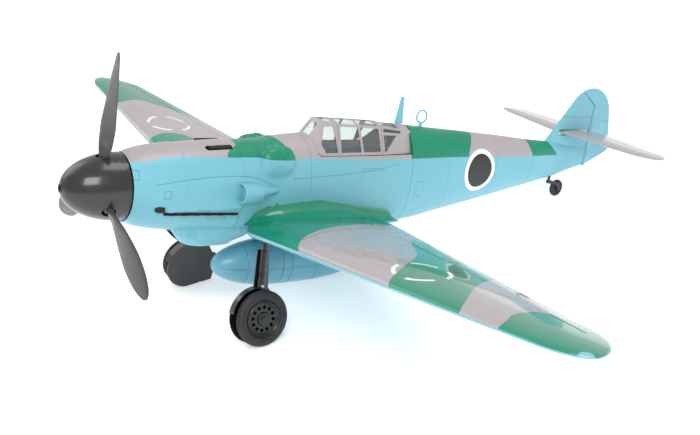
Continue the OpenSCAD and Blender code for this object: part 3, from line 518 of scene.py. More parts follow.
def wing_paint():
    sh = Shader("wing_paint")
    port = wing_colours(sh, sh.side, PORT_BREAKS, PORT_MARK)
    starboard = wing_colours(sh, sh.side, STARBOARD_BREAKS, STARBOARD_MARK)
    top = sh.mix(sh.above(sh.x, 0.0), starboard, port)
    patch = sh.both(circle_mask(sh, STARBOARD_PATCH, 42.0), sh.above(0.0, sh.x))
    top = sh.mix(patch, top, GREEN)
    walk = sh.both(sh.band(sh.side, sh.curve(sh.s, WALKWAY), 1.5), sh.inside(sh.s, 256, 423),
                   sh.above(sh.math("PINGPONG", sh.s, 3.2), 1.5, 0.2))
    top = sh.mix(walk, top, RED)
    top = sh.mix(circle_mask(sh, TIP_LAMP, 8.0), top, SKY)
    mean = sh.math("MULTIPLY_ADD", sh.side, math.tan(math.radians(DIHEDRAL)), WING_ROOT_Z)
    colour = sh.mix(sh.above(sh.z, sh.math("ADD", mean, 0.8), 0.5), SKY, top)
    lines = sh.either(
        *[sh.band(sh.side, at, 0.3) for at in WING_JOINTS],
        sh.both(sh.band(sh.s, sh.math("MULTIPLY_ADD", sh.side, 0.054, 258.0), 0.3),
                sh.inside(sh.side, 90.0, WING_JOINTS[-1])))
    return painted(sh, colour, sh.math("MULTIPLY", lines, 0.6), 0.26, 0.8, 0.05, 0.000003)


def circle_mask(sh, centre, radius):
    """A disc on the wing: centre as (distance out, station)."""
    return sh.above(radius, circle_distance(sh, sh.side, sh.s, centre))


def tail_paint():
    sh = Shader("tailplane_paint")
    colour = sh.mix(sh.above(sh.z, 65.0, 0.5), SKY, GREY)
    return painted(sh, colour, sh.band(sh.side, 96.0, 0.3), 0.27, 0.6, 0.08)


def fin_paint():
    sh = Shader("fin_paint")
    lines = sh.either(
        sh.both(sh.band(sh.z, 92.0, 0.3), sh.above(938.0, sh.s)),
        sh.both(sh.band(sh.s, 903.0, 0.3), sh.inside(sh.z, 50.0, 92.0)),
        sh.both(outline_band(sh, sh.s, sh.z, (963.0, 40.0), (984.0, 84.0)), sh.above(sh.s, 950.0)))
    return painted(sh, SKY, lines, 0.34, 0.2, 0.15)


def plain_paint():
    """Sky paint for the small fittings, with one seam far below them."""
    sh = Shader("sky_paint")
    return painted(sh, SKY, sh.band(sh.z, 500.0, 0.1), 0.34, 0.2, 0.12)


def tank_paint():
    sh = Shader("tank_paint")
    lines = sh.either(*[sh.band(sh.s, s, 0.35) for s in TANK_SEAMS],
                      sh.both(sh.band(sh.z, -120.0, 0.4), sh.above(sh.side, 10.0)))
    return painted(sh, paint(104, 168, 188), lines, 0.34, 0.2, 0.15)


def canopy_paint():
    sh = Shader("canopy_paint")
    rivets = sh.band(sh.math("PINGPONG", sh.s, 3.5), 3.3, 0.25)
    return painted(sh, GREY, sh.both(rivets, sh.band(sh.z, 44.5, 0.4)), 0.34, 0.2, 0.15)


def black_plastic(name, level, rough, coat=0.0, grain=900.0, tone=0.2):
    """Moulded black plastic: grain in the surface, and paler where it is scuffed."""
    sh = Shader(name)
    scuff = sh.spread(sh.noise(24.0, 6.0, 0.65), 1 - tone, 1 + tone)
    gloss = sh.spread(sh.noise(60.0, 4.0), rough - 0.06, rough + 0.08)
    return sh.surface(Base_Color=sh.toned(paint(level, level, level + 1), scuff), Roughness=gloss,
                      Normal=sh.bump(sh.noise(grain, 2.0), 0.00003, 0.7), Coat_Weight=coat, Coat_Roughness=0.08)


def metal(name, colour, rough, grain=300.0):
    """Machined metal with fine scratches."""
    sh = Shader(name)
    stretch = sh.add("ShaderNodeMapping", {"Vector": sh.place, "Scale": (1.0, 1.0, 12.0)}).outputs[0]
    grit = sh.add("ShaderNodeTexNoise", {"Vector": stretch, "Scale": grain, "Detail": 4.0}).outputs["Fac"]
    colour = sh.mix(sh.spread(grit, 0.0, 0.35), colour, shade_of(colour, 0.7))
    return sh.surface(Base_Color=colour, Metallic=1.0, Roughness=sh.spread(grit, rough - 0.06, rough + 0.1),
                      Normal=sh.bump(grit, 0.00002, 0.5))


def rubber():
    sh = Shader("tyre_rubber")
    dust = sh.spread(sh.noise(90.0, 5.0, 0.6), 0.0, 0.22)
    return sh.surface(Base_Color=sh.mix(dust, paint(22, 22, 23), paint(66, 65, 64)),
                      Roughness=sh.spread(sh.noise(40.0), 0.48, 0.66),
                      Normal=sh.bump(sh.noise(1400.0, 2.0), 0.00004, 0.8))


def glass():
    sh = Shader("clear_canopy")
    smear = sh.spread(sh.noise(50.0, 3.0), 0.02, 0.08)
    return sh.surface(Base_Color=paint(232, 240, 238), Roughness=smear, Transmission_Weight=0.92, IOR=1.3,
                      Specular_IOR_Level=0.5)


def plywood():
    sh = Shader("plywood")
    wave = sh.add("ShaderNodeTexWave", {"Vector": sh.place, "Scale": 90.0, "Distortion": 6.0, "Detail": 3.0},
                  bands_direction="Z").outputs["Fac"]
    return sh.surface(Base_Color=sh.mix(wave, paint(196, 160, 112), paint(158, 118, 74)), Roughness=0.6,
                      Normal=sh.bump(wave, 0.0001, 0.4))


def wrapped(name, colour, rough=0.35):
    """Shrink-wrapped or moulded plastic of one colour, with faint wrinkles."""
    sh = Shader(name)
    crease = sh.noise(80.0, 5.0, 0.6)
    return sh.surface(Base_Color=sh.mix(sh.spread(crease, 0.0, 0.3), colour, shade_of(colour, 0.65)),
                      Roughness=sh.spread(crease, rough, rough + 0.15), Normal=sh.bump(crease, 0.0004, 0.5))


def carbon():
    sh = Shader("carbon_tube")
    weave = sh.add("ShaderNodeTexChecker", {"Vector": sh.place, "Scale": 500.0}).outputs["Fac"]
    return sh.surface(Base_Color=sh.mix(weave, paint(24, 24, 26), paint(52, 53, 56)), Roughness=0.3,
                      Coat_Weight=0.8, Coat_Roughness=0.05)


fuselage_finish = fuselage_paint()
wing_finish = wing_paint()
tailplane_finish = tail_paint()
fin_finish = fin_paint()
sky_finish = plain_paint()
tank_finish = tank_paint()
canopy_finish = canopy_paint()
glass_finish = glass()
spinner_finish = black_plastic("spinner_black", 34, 0.24, 0.35)
blade_finish = black_plastic("blade_black", 62, 0.38, 0.1, 700.0, 0.12)
gear_finish = black_plastic("gear_black", 20, 0.22, 0.5)
hub_finish = black_plastic("hub_black", 20, 0.3, 0.2)
# Near-black for the gun barrels, exhaust outlets and spinner muzzle. The same near-black is also painted shade:
# on the cut walls of the gun troughs, exhaust slots, chin mouth and spinner holes, and on the sheets set in the
# intake's throat and under the exhaust fairing.
black_and_recess_shade_finish = black_plastic("black_and_recess_shade", 14, 0.6)
cockpit_finish = black_plastic("cockpit_plastic", 66, 0.6, 0.0, 500.0)
tyre_finish = rubber()
steel_finish = metal("steel", (0.62, 0.62, 0.62, 1), 0.25)
alloy_finish = metal("aluminium", (0.72, 0.73, 0.75, 1), 0.3)
bell_finish = metal("motor_black", (0.06, 0.06, 0.07, 1), 0.32)
ply_finish = plywood()
battery_finish = wrapped("battery_wrap", paint(42, 58, 128))
servo_finish = wrapped("servo_plastic", paint(44, 44, 48), 0.4)
arm_finish = wrapped("arm_plastic", paint(226, 226, 222), 0.4)
carbon_finish = carbon()

# CAD nodes that show as they are, by their finish.
NODE_FINISH = [
    (ply_finish, "joint_former firewall battery_tray"),
    (alloy_finish, "motor_mount motor_stator"),
    (bell_finish, "motor_bell"),
    (steel_finish, "motor_shaft prop_nut screws aileron_rod_left aileron_rod_right"),
    (servo_finish, "speed_controller receiver tail_servos wing_servos"),
    (battery_finish, "battery"),
    (cockpit_finish, "cockpit_tub pilot_seat"),
    (canopy_finish, "windscreen_frame hood_frame rear_canopy_frame"),
    (glass_finish, "windscreen_glass hood_glass rear_canopy_glass"),
    (black_and_recess_shade_finish, "gun_barrels exhaust_stacks"),
    (sky_finish, "supercharger_scoop antenna_mast direction_loop"),
    (carbon_finish, "wing_tube"),
    (arm_finish, "aileron_arm_left aileron_arm_right"),
    (gear_finish, "tank_rack gear_leg_left gear_leg_right gear_door_left gear_door_right tail_fork"),
    (hub_finish, "wheel_left wheel_right"),
    (tyre_finish, "tail_wheel"),
    (spinner_finish, "spinner_backplate")]
for finish, names in NODE_FINISH:
    for node_name in names.split():
        data = frame["nodes"][node_name].data
        data.materials.clear()
        data.materials.append(finish)

# ------------------------------------------------------------------ fuselage

# Station, half width, top, bottom, height of the widest point, roundness.
STATIONS = np.array([
    [77, 42.5, 43, -45, 0, 2], [95, 44.5, 49, -52, 0, 2.05], [116, 46, 52.5, -56, 0, 2.1],
    [150, 47, 55, -61, -1, 2.2], [200, 47.5, 57.5, -67, -3, 2.3], [250, 48, 60, -70, -5, 2.3],
    [300, 48, 63, -72, -6, 2.3], [343, 47.5, 66, -72.5, -6, 2.3], [420, 46.5, 72, -72.5, -6, 2.3],
    [480, 44.5, 77.5, -72, -4, 2.25], [514, 43, 77.8, -71, -2, 2.2], [549, 41.5, 75, -68, 0, 2.15],
    [590, 38, 71.5, -61, 2, 2.1], [633, 33.8, 68, -54, 5, 2.1], [700, 29, 62, -43, 8, 2],
    [759, 24.8, 56, -32, 11, 2], [792, 22, 52.5, -26, 13, 2], [833, 17, 49.5, -18.5, 15, 2],
    [873, 12.5, 47.5, -11, 18, 2], [905, 9, 46, -2.5, 21, 2], [934, 6.5, 45, 3.5, 24, 2]])
# The chin fairing: station, half width, bottom.
CHIN = np.array([[146, 20, -58], [152, 27, -69], [160, 31, -77], [172, 33, -83], [192, 34, -85.5],
                 [217, 34, -85.5], [242, 31, -80], [262, 26, -74], [275, 20, -69]])
CHIN_ROOF = -45
BLISTER_S = 281
BLISTER_HALF = 27
FAIRING = (226, 283)
# Lower edge of the cowl's top panel: station, height.
COWL_LINE = np.array([[90, 6], [104, 13], [148, 18.3], [205, 21.4], [235, 19.3], [257, 13.2], [280, 4],
                      [300, 0]])
SILL = 42.6
COCKPIT_FRONT = 340.4
SPLIT = 514
TAIL_END = 934
SKIN = 2.0
EXHAUST_Z = -25.5
STUB_Z = EXHAUST_Z + 7
INTAKE = np.array([54, 219, 1])
INTAKE_WAY = np.array([-0.1216, 0.990, -0.0698])
GUN_X = 19
GUN_Z = 52.2


def ray_to_oval(c, z_way, from_z, centre_z, half, height, power):
    """Distance along a ray from (0, from_z) to the far side of an oval, or 0 where it misses."""
    low = (centre_z - from_z) * z_way
    high = low + 120

    def outside(r):
        return (np.abs(r * c) / half) ** power + (np.abs(from_z + r * z_way - centre_z) / height) ** power > 1
    hit = ~outside(low)
    for _ in range(28):
        middle = (low + high) / 2
        far = outside(middle)
        high = np.where(far, middle, high)
        low = np.where(far, low, middle)
    return np.where(hit, low, 0)


def ray_to_disc(c, z_way, from_z, x, z, rx, rz):
    """Distance along a ray from (0, from_z) to the far side of an ellipse centred at (x, z), or 0."""
    a = (c / rx) ** 2 + (z_way / rz) ** 2
    b = -2 * (c * x / rx ** 2 + z_way * (z - from_z) / rz ** 2)
    rest = (x / rx) ** 2 + ((z - from_z) / rz) ** 2 - 1
    under = b * b - 4 * a * rest
    return np.where(under > 0, (-b + np.sqrt(np.maximum(under, 0))) / (2 * a), 0)


def blister(s, c, way, mid):
    """Distance out to the rounded bulge on each side of the cowl's top."""
    k = (1 - (abs(s - BLISTER_S) / BLISTER_HALF) ** 2.6) ** (1 / 2.6)
    return ray_to_disc(np.abs(c), way, mid, 35, 34, 14.8 * k, 24.6 * k)


def intake_fairing(s, c, way, mid):
    """Distance out to the teardrop behind the intake on the port cowl."""
    k = (FAIRING[1] - s) / (FAIRING[1] - FAIRING[0])
    x, z = 54 - 0.123 * (s - 221), 1.0 - 0.02 * (s - 221)
    return ray_to_disc(c, way, mid, x, z, 12.2 * k ** 0.7 + 0.5, 12.2 * k ** 0.55 + 0.5)


def cowl_relief(s, z):
    """How far the cowl's flank stands out: under the long line, and along the exhausts."""
    raised = smooth(COWL_LINE[:, 0], COWL_LINE[:, 1:], [s])[0, 0]
    tear = ease(0, 4.5, raised - z) * ease(-30, -20, z) * ease(100, 128, s) * (1 - ease(240, 284, s))
    ridge = ease(118, 126, s) * (1 - ease(224, 240, s)) * ease(-22.6, -21, z) * (1 - ease(-13, -9, z))
    front = ease(98, 106, s) * (1 - ease(118, 124, s)) * ease(-19, -15, z) * (1 - ease(-12, -8, z))
    return 1.5 * tear + 2.6 * ridge + 1.6 * front


def skin_ring(s, count=160):
    """The fuselage's outline at station s, with its fairings and bulges."""
    half, top, bottom, mid, power = smooth(STATIONS[:, 0], STATIONS[:, 1:], [s])[0]
    a = (np.arange(count) + 0.5) * 2 * math.pi / count
    c, way = np.cos(a), np.sin(a)
    height = np.where(way >= 0, top - mid, mid - bottom)
    r = ((np.abs(c) / half) ** power + (np.abs(way) / height) ** power) ** (-1 / power)
    z = mid + r * way
    if CHIN[0, 0] < s < CHIN[-1, 0]:
        w, low = smooth(CHIN[:, 0], CHIN[:, 1:], [s])[0]
        r = blend_max(r, ray_to_oval(c, way, mid, (CHIN_ROOF + low) / 2, w, (CHIN_ROOF - low) / 2, 2.4), 1.5)
    if abs(s - BLISTER_S) < BLISTER_HALF:
        r = blend_max(r, blister(s, c, way, mid), 1.2)
    if FAIRING[0] < s < FAIRING[1]:
        r = blend_max(r, intake_fairing(s, c, way, mid), 3.0)
    r = r + np.where(np.abs(c) > 0.5, cowl_relief(s, z), 0)
    return np.stack([r * c, np.full(count, float(s)), mid + r * way], 1)


def stations_between(first, last, step):
    return np.linspace(first, last, max(2, int(round((last - first) / step)) + 1))


def shelled(obj, thickness):
    wall = obj.modifiers.new("wall", "SOLIDIFY")
    wall.thickness = thickness / 1000
    wall.offset = -1
    wall.use_even_offset = False
    return applied(obj)


def side_plate(outline, half=30):
    """A prism across the aircraft from its corners in side view, clockwise or not."""
    n = len(outline)
    points = [(x, s, z) for x in (-half, half) for s, z in outline]
    faces = [tuple(range(n)), tuple(range(2 * n - 1, n - 1, -1))]
    faces += [(i, (i + 1) % n, n + (i + 1) % n, n + i) for i in range(n)]
    return np.array(points, float), faces


def cockpit_opening():
    """What is cut from the skin under the three canopy sections."""
    low, rear = SILL - 0.4, SPLIT + 30
    return side_plate([(COCKPIT_FRONT, 120), (COCKPIT_FRONT, 63), (345.2, 46.4), (351, low), (rear, low),
                       (rear, 120)], 60)


def gun_troughs():
    """Round-ended grooves that the barrels lie in."""
    end = [(4.8 * math.sin(a), 4.8 * (1 - math.cos(a))) for a in quarter(8, 0.05)]
    groove = solid([*end, (4.8, 38)], 40)
    return together(*[moved(groove, (side * GUN_X, 180, GUN_Z), ALONG_SHAFT) for side in (-1, 1)])


def exhaust_row(part):
    """Sets a part drawn along y into the sloping line of the outlets."""
    return moved(part, (0, 118, EXHAUST_Z + 1), turn("X", -2.8))


def exhaust_slots():
    """What is cut from the cowl for the front stub and the row of outlets, each side."""
    strip = exhaust_row(box((39, 0, -2.4), (52, 107, 0.9)))
    return both_sides(strip, along((36, 111, STUB_Z), (54, 111, STUB_Z), 4.4))


def front_fuselage():
    stations = np.concatenate([stations_between(77, COCKPIT_FRONT, 2.4),
                               stations_between(COCKPIT_FRONT, SPLIT - 0.1, 4)[1:]])
    obj = raw("fuselage_front", grid([skin_ring(s) for s in stations], (False, False)), fuselage_finish)
    obj = cut(shelled(obj, SKIN), cockpit_opening(), fuselage_finish)
    mouth = turned(solid([(13, -14), (13, 10)], 40), np.diag([1, 0.34, 1]))
    mouth = moved(mouth, (0, 151, -68), turn("X", -128))
    # The cut walls of the chin mouth, gun troughs and exhaust slots take the near-black finish as painted shade
    # in these recesses.
    cut(obj, together(mouth, gun_troughs(), exhaust_slots()), black_and_recess_shade_finish)
    finish_piece(obj, "airframe", ["front_fuselage"])


def rear_fuselage():
    stations = stations_between(SPLIT + 0.5, TAIL_END, 4)
    rings = [skin_ring(s, 128) for s in stations]
    flange = rings[0] * (0.86, 1, 0.86)
    obj = raw("fuselage_rear", grid([flange, *rings], (False, True)), fuselage_finish)
    obj = shelled(obj, SKIN)
    seat = box((-60, 500, 70.4), (60, 520.4, 100))
    post = along((0, 864, -40), (0, 864, 10), 5.7)
    cut(obj, together(seat, post), fuselage_finish)
    finish_piece(obj, "airframe", ["rear_fuselage"])


front_fuselage()
rear_fuselage()


def air_intake():
    """Funnel on the port cowl with a rolled lip."""
    rotation = np.array(Vector(INTAKE_WAY).to_track_quat("Z", "Y").to_matrix())
    lip = [(12.3 + 1.1 * math.cos(a), 0.3 + 1.1 * math.sin(a)) for a in np.linspace(0, -math.pi, 9)]
    profile = [(12.7, 22), (13.3, 9), *lip, (11.0, 5), (9.6, 14), (8.6, 24), (8.6, 30), (11.8, 30)]
    part = moved(ring_lathe(profile, 72), INTAKE, rotation)
    # A near-black disc set in the funnel's throat: painted shade standing in for the dark duct behind the lip.
    inside = moved(solid([(8.5, 0), (8.5, 1.5)], 48), INTAKE + 22 * INTAKE_WAY, rotation)
    piece("intake_funnel", part, sky_finish, "airframe", ["supercharger_scoop"])
    piece("intake_shade_disc", inside, black_and_recess_shade_finish, "airframe")


air_intake()


def exhaust():
    """A stub at the front and a row of flattened outlets under the fairing, each side, set on a near-black
    strip that is painted shadow under the fairing's overhang.
    """
    lip = [(3.4, -1.0), (4.2, 0), (3.4, 1.0), (2.4, 0.6), (2.4, -0.6)]
    outlet = turned(ring_lathe(lip, 28), np.diag([0.55, 1.9, 0.8]))
    row = [moved(outlet, (46.2, 9 + 17.5 * k, -0.9)) for k in range(6)]
    # The box is the near-black strip: painted shadow under the fairing's overhang.
    row = exhaust_row(together(box((42.4, 1, -2.2), (45.6, 106.6, 0.6)), *row))
    dome = [(4.2 * math.cos(a), 5.5 * math.sin(a)) for a in quarter(8)]
    stub = moved(solid([(4.2, -7), *dome[:-1], (0.4, 5.5)], 32), (45.8, 110, STUB_Z),
                 turn("X", 90) @ np.diag([0.8, 1, 1]))
    piece("exhaust_outlets_and_shadow_strip", both_sides(row, stub), black_and_recess_shade_finish, "airframe", ["exhaust_stacks"])


exhaust()

# ------------------------------------------------------------------ propeller and spinner

SPINNER_R = 43.0
SPINNER_LEN = 72.0
PROP_R = 169.0
BLADE_RAKE = 8.0
BLADE_ANGLES = (-87, 33, 153)
# Share of the tip radius, chord, thickness, pitch angle.
BLADE = np.array([[0.13, 11, 9, 20], [0.24, 17, 8.4, 18], [0.3, 24, 7.4, 16], [0.36, 30, 6.2, 11],
                  [0.5, 39, 4.6, 3], [0.66, 40, 3.6, -4], [0.82, 34, 2.8, -8], [0.93, 23, 2.2, -10],
                  [0.98, 14, 1.8, -10], [1, 3, 1.0, -10]])


def spinner_radius(s):
    return SPINNER_R * np.sqrt(np.maximum(0, 1 - ((SPINNER_LEN - s) / SPINNER_LEN) ** 2))


def spinner():
    s = 1.2 + (SPINNER_LEN - 1.2) * (1 - np.cos(quarter(64)))
    outer = []
    for at in s:
        groove = 0.35 * math.exp(-((at - 61.5) / 0.55) ** 2)
        outer.append((float(spinner_radius(at)) - groove, at))
    inner = [(max(r - 2, 4.0), at + 2.5) for r, at in outer if at < 66][::-1]
    rim = [(4.2, 1.2), (5.0, -0.4), (5.6, 0.2)]
    profile = [*rim, *[p for p in outer if p[0] > 6.5], (SPINNER_R - 2, SPINNER_LEN), *inner[:-1], (4.2, 6)]
    obj = raw("spinner", turned(ring_lathe(profile, 128), ALONG_SHAFT), spinner_finish)
    hole = along((14, 0, PROP_PLANE), (60, 0, PROP_PLANE), 8.6, 40)
    # The walls of the blade holes take the near-black finish as painted shade inside the holes.
    cut(obj, together(*[turned(hole, ALONG_SHAFT @ turn("Z", a)) for a in BLADE_ANGLES]), black_and_recess_shade_finish)
    finish_piece(obj, "propeller_group", ["spinner_cone"])
    muzzle = [(4.1, 1.0), (4.1, 30), (2.6, 30), (2.6, 0.6), (3.2, 0.2)]
    piece("spinner_muzzle", turned(ring_lathe(muzzle, 40), ALONG_SHAFT), black_and_recess_shade_finish, "propeller_group")


def blade(angle):
    """A blade from its root to its tip, its sections closer together near the tip."""
    tip = 1 - (1 - 0.9) * np.cos(quarter(12, 0.1))
    shares = np.concatenate([np.linspace(0.13, 0.9, 44), tip])
    a = np.arange(40) * 2 * math.pi / 40
    rings = []
    for share in shares:
        chord, thick, pitch = smooth(BLADE[:, 0], BLADE[:, 1:], [share])[0]
        c = chord / 2 * np.cos(a)
        t = thick / 2 * np.sin(a) * (1 - 0.25 * np.cos(a))
        dent = 2.2 * math.exp(-((share - 0.3) / 0.035) ** 2)
        t = t + dent * np.exp(-(np.cos(a) / 0.5) ** 2) * (np.sin(a) < 0)
        b = math.radians(pitch)
        rings.append(section(share * PROP_R, c * math.cos(b) - t * math.sin(b),
                             c * math.sin(b) + t * math.cos(b) + BLADE_RAKE * share))
    return turned(moved(grid(rings), (0, 0, PROP_PLANE)), ALONG_SHAFT @ turn("Z", angle))


def propeller():
    """The hub with its three blade roots, and the blades."""
    hub = moved(solid([(13, -9), (13, 13.6)], 64), (0, 0, PROP_PLANE))
    obj = raw("propeller_hub", turned(hub, ALONG_SHAFT), blade_finish)
    root = solid([(6.4, 8), (6.4, 34), (7.2, 34.5), (7.2, 37), (6.2, 38)], 40)
    root = moved(root, (0, 0, PROP_PLANE + 1.5), turn("Y", 90))
    cut(obj, together(*[turned(root, ALONG_SHAFT @ turn("Z", a)) for a in BLADE_ANGLES]), None, "UNION")
    finish_piece(obj, "propeller_group", ["propeller"])
    for k, angle in enumerate(BLADE_ANGLES):
        piece(f"blade_{k + 1}", blade(angle), blade_finish, "propeller_group", angle=50)


spinner()
propeller()

# ------------------------------------------------------------------ wings

HALF_SPAN = 595.0
TIP_FROM = HALF_SPAN - 52
TIP_LEAD = 0.34
FLAP = (60, 284, 47, 33)
AILERON = (291, 545, 29, 18.2)
PLAY = 0.8


def wing_le(x):
    return 232 + 0.054 * x


def wing_te(x):
    return 482.5 - 0.249 * x


def full_chord(x):
    """The wing's chord before its tip is rounded off."""
    return wing_te(x) - wing_le(x)


def wing_z(x):
    return WING_ROOT_Z + x * math.tan(math.radians(DIHEDRAL))


def half_thick(f, t):
    return 5 * t * (0.2969 * np.sqrt(f) - 0.126 * f - 0.3516 * f ** 2 + 0.2843 * f ** 3 - 0.1015 * f ** 4)


def camber(f):
    return 4 * 0.016 * f * (1 - f)


def wing_t(x):
    return 0.14 + (0.115 - 0.14) * x / HALF_SPAN


def wing_section(x):
    """Leading edge, chord and thickness share at a distance out."""
    k = 1.0 if x <= TIP_FROM else math.sqrt(max(0, 1 - ((x - TIP_FROM) / (HALF_SPAN - TIP_FROM)) ** 2))
    first = wing_le(x) + 16 * max(0, 1 - (x - 36) / 24) ** 2
    full = wing_te(x) - first
    chord = full * max(k, 0.05)
    return first + TIP_LEAD * (full - chord), chord, wing_t(x)


def wing_points(x, f, side):
    """Points of the upper (side 1) or lower (side -1) surface at shares f of the chord."""
    lead, chord, t = wing_section(x)
    z = wing_z(x) + chord * (camber(f) + side * half_thick(f, t)) + side * 0.3
    return section(x, lead + f * chord, z)


def hinge_point(x, chord):
    """Where the hinge of a surface of that chord is at a distance out."""
    full = full_chord(x)
    return np.array([x, wing_te(x) - chord, wing_z(x) + full * camber(1 - chord / full)])


def nose_r(x, chord):
    """Radius of such a surface's nose."""
    full = full_chord(x)
    return full * half_thick(1 - chord / full, wing_t(x)) + 0.25


def hinge_axes(plan):
    """Start of a surface's hinge, its length, and the rotation to its axes (along, aft, up)."""
    start = hinge_point(plan[0], plan[2])
    d = hinge_point(plan[1], plan[3]) - start
    yaw = math.degrees(math.atan2(d[1], d[0]))
    rise = math.degrees(math.atan2(d[2], math.hypot(d[0], d[1])))
    return start, float(np.linalg.norm(d)), turn("Z", yaw) @ turn("Y", -rise)


def bay(plan):
    """What is cut from the wing for a surface."""
    start, span, axes = hinge_axes(plan)
    r1, r2 = nose_r(plan[0], plan[2]) + PLAY, nose_r(plan[1], plan[3]) + PLAY
    outline = [(-PLAY, -r1), (span + PLAY, -r2), (span + PLAY, 90), (-PLAY, 90)]
    points = [(x, y, z) for z in (-50, 50) for x, y in outline]
    faces = [(3, 2, 1, 0), (4, 5, 6, 7), (0, 1, 5, 4), (1, 2, 6, 5), (2, 3, 7, 6), (3, 0, 4, 7)]
    return moved((np.array(points, float), faces), start, axes)


TRUNNION = np.array([79, 251, -55.5])
LEG_LEN = 103.0
TYRE_R = 37.8
TYRE_W = 13.0
WHEEL_OFFSET = 11.2
LEG_DOWN = turn("Y", -11) @ turn("X", -6)
LEG_STOWED = turn("Y", -DIHEDRAL) @ turn("Z", 31) @ turn("Y", 1.6 - 90)


def well():
    """Room for the stowed wheel, and for its leg."""
    disc = solid([(TYRE_R + 7, -60), (TYRE_R + 7, TYRE_W / 2 + 1.2)], 72)
    disc = moved(disc, (WHEEL_OFFSET, 0, -LEG_LEN), turn("Y", 90))
    slot = box((-60, -10, -LEG_LEN), (6.5, 15.5, 7))
    return moved(disc, TRUNNION, LEG_STOWED), moved(slot, TRUNNION, LEG_STOWED)


def linkage_slots():
    """Room for the aileron's horn and rod."""
    start, _, axes = hinge_axes(AILERON)
    slots = [box((116.2, -51, -30), (123.2, -33, 4)), box((116.2, -12, -30), (123.2, 1, -2))]
    return [moved(s, start, axes) for s in slots]


def wing(side):
    f = chord_shares(46)
    inner = np.concatenate([np.linspace(36, 84, 20), np.linspace(84, TIP_FROM, 60)[1:]])
    tip = TIP_FROM + (HALF_SPAN - TIP_FROM) * np.sin(quarter(22))[1:]
    rings = [np.concatenate([wing_points(x, f[::-1], 1), wing_points(x, f[1:], -1)]) for x in (*inner, *tip)]
    part = grid(rings)
    cuts = [together(bay(FLAP), bay(AILERON)), *well(), together(*linkage_slots())]
    obj = raw(f"wing_panel_{SIDES[side]}", sided(part, side), wing_finish)
    for tool in cuts:
        cut(obj, sided(tool, side), wing_finish)
    finish_piece(obj, "airframe", [f"wing_{SIDES[side]}"], 28)


# Wing fillet: station, height where it leaves the fuselage, distance out where it meets the wing.
FILLET = np.array([[242, -51, 50], [244, -46, 52], [250, -30, 57], [270, -20.3, 66], [308, -16.8, 74],
                   [352, -13.8, 78], [400, -23.8, 72], [416, -27.5, 62], [421, -28.4, 59.3], [445, -32, 59.3],
                   [481, -39, 59], [490, -46, 57], [493, -52, 54]])


def fillet_ring(s):
    """Concave cross-section between the fuselage side and the top of the wing."""
    top, out = (float(np.interp(s, FILLET[:, 0], FILLET[:, k])) for k in (1, 2))
    skin = skin_ring(s)
    skin = skin[(skin[:, 0] > 0) & (skin[:, 2] > -75)]
    order = np.argsort(skin[:, 2])
    root = float(np.interp(top, skin[order, 2], skin[order, 0])) - 0.5
    lead, chord, _ = wing_section(out)
    foot = wing_points(out, np.array([np.clip((s - lead) / chord, 0, 1)]), 1)[0, 2] - 0.3
    a = quarter(15)
    arc = np.stack([out - (out - root) * np.cos(a), np.full(15, s), top - (top - foot) * np.sin(a)], 1)
    under = [(out - 0.4, s, foot - 1.6), (root - 1.2, s, foot - 1.6), (root - 1.2, s, top - 0.8)]
    return np.concatenate([arc, under])


def wing_fillets():
    rings = [fillet_ring(s) for s in (242, 244, 247, *np.linspace(250, 484, 48), 487, 490, 493)]
    pair("wing_fillet", grid(rings), wing_finish, "airframe")


def trimmed(obj, point, normal):
    """Cuts off what lies beyond a plane, and closes the cut."""
    work = bmesh.new()
    work.from_mesh(obj.data)
    way = Vector(normal[0] * PORT + normal[1] * AFT + normal[2] * UP)
    bmesh.ops.bisect_plane(work, geom=work.verts[:] + work.edges[:] + work.faces[:], dist=1e-7,
                           plane_co=Vector(world([point])[0]), plane_no=way, clear_outer=True)
    rim = [e for e in work.edges if e.is_boundary]
    bmesh.ops.contextual_create(work, geom=rim)
    bmesh.ops.recalc_face_normals(work, faces=work.faces)
    work.to_mesh(obj.data)
    work.free()


def surface_ring(x, at, middle, half, hinge, radii, steps):
    """A moving surface's section: its skins aft of the hinge, half above and below middle, and its nose."""
    a = np.linspace(math.pi / 2, 3 * math.pi / 2, steps)[1:-1]
    nose = section(x, hinge[0] + radii[0] * np.cos(a), hinge[1] + radii[1] * np.sin(a))
    return np.concatenate([section(x, at, middle + half)[::-1], nose, section(x, at, middle - half)])


def surface_rings(plan, spread=14):
    """Sections of a flap or aileron: the wing's own skin aft of the hinge, and a rounded nose."""
    rings = []
    for x in np.linspace(plan[0] - spread, plan[1] + spread, 70):
        share = (x - plan[0]) / (plan[1] - plan[0])
        chord = plan[2] + (plan[3] - plan[2]) * share
        full = full_chord(x)
        f = np.linspace(1 - chord / full, 1, 14)
        z = wing_z(x) + full * camber(f)
        t = full * half_thick(f, wing_t(x)) + 0.25
        radii = [nose_r(x, chord)] * 2
        rings.append(surface_ring(x, wing_le(x) + f * full, z, t, hinge_point(x, chord)[1:], radii, 15))
    return rings


def surface(name, plan, side):
    """A flap or aileron, cut square to its hinge at both ends."""
    word = f"{name}_{SIDES[side]}"
    start, span, axes = hinge_axes(plan)
    end = start + axes @ np.array([span, 0, 0])
    flip = np.array([side, 1, 1])
    obj = raw(f"{name}_skin_{SIDES[side]}", sided(grid(surface_rings(plan)), side), wing_finish)
    trimmed(obj, start * flip, -axes[:, 0] * flip)
    trimmed(obj, end * flip, axes[:, 0] * flip)
    if plan is AILERON:
        horn = box((117.2, -3, -16.5), (118.8, 3, -1))
        horn = moved(together(horn, along((117.5, 0, -15), (123, 0, -15), 0.9, 16)), start, axes)
        cut(obj, sided(horn, side), arm_finish, "UNION")
    finish_piece(obj, word, [word], 40)


wing_fillets()
for side in SIDES:
    wing(side)
    surface("flap", FLAP, side)
    surface("aileron", AILERON, side)

# ------------------------------------------------------------------ tail

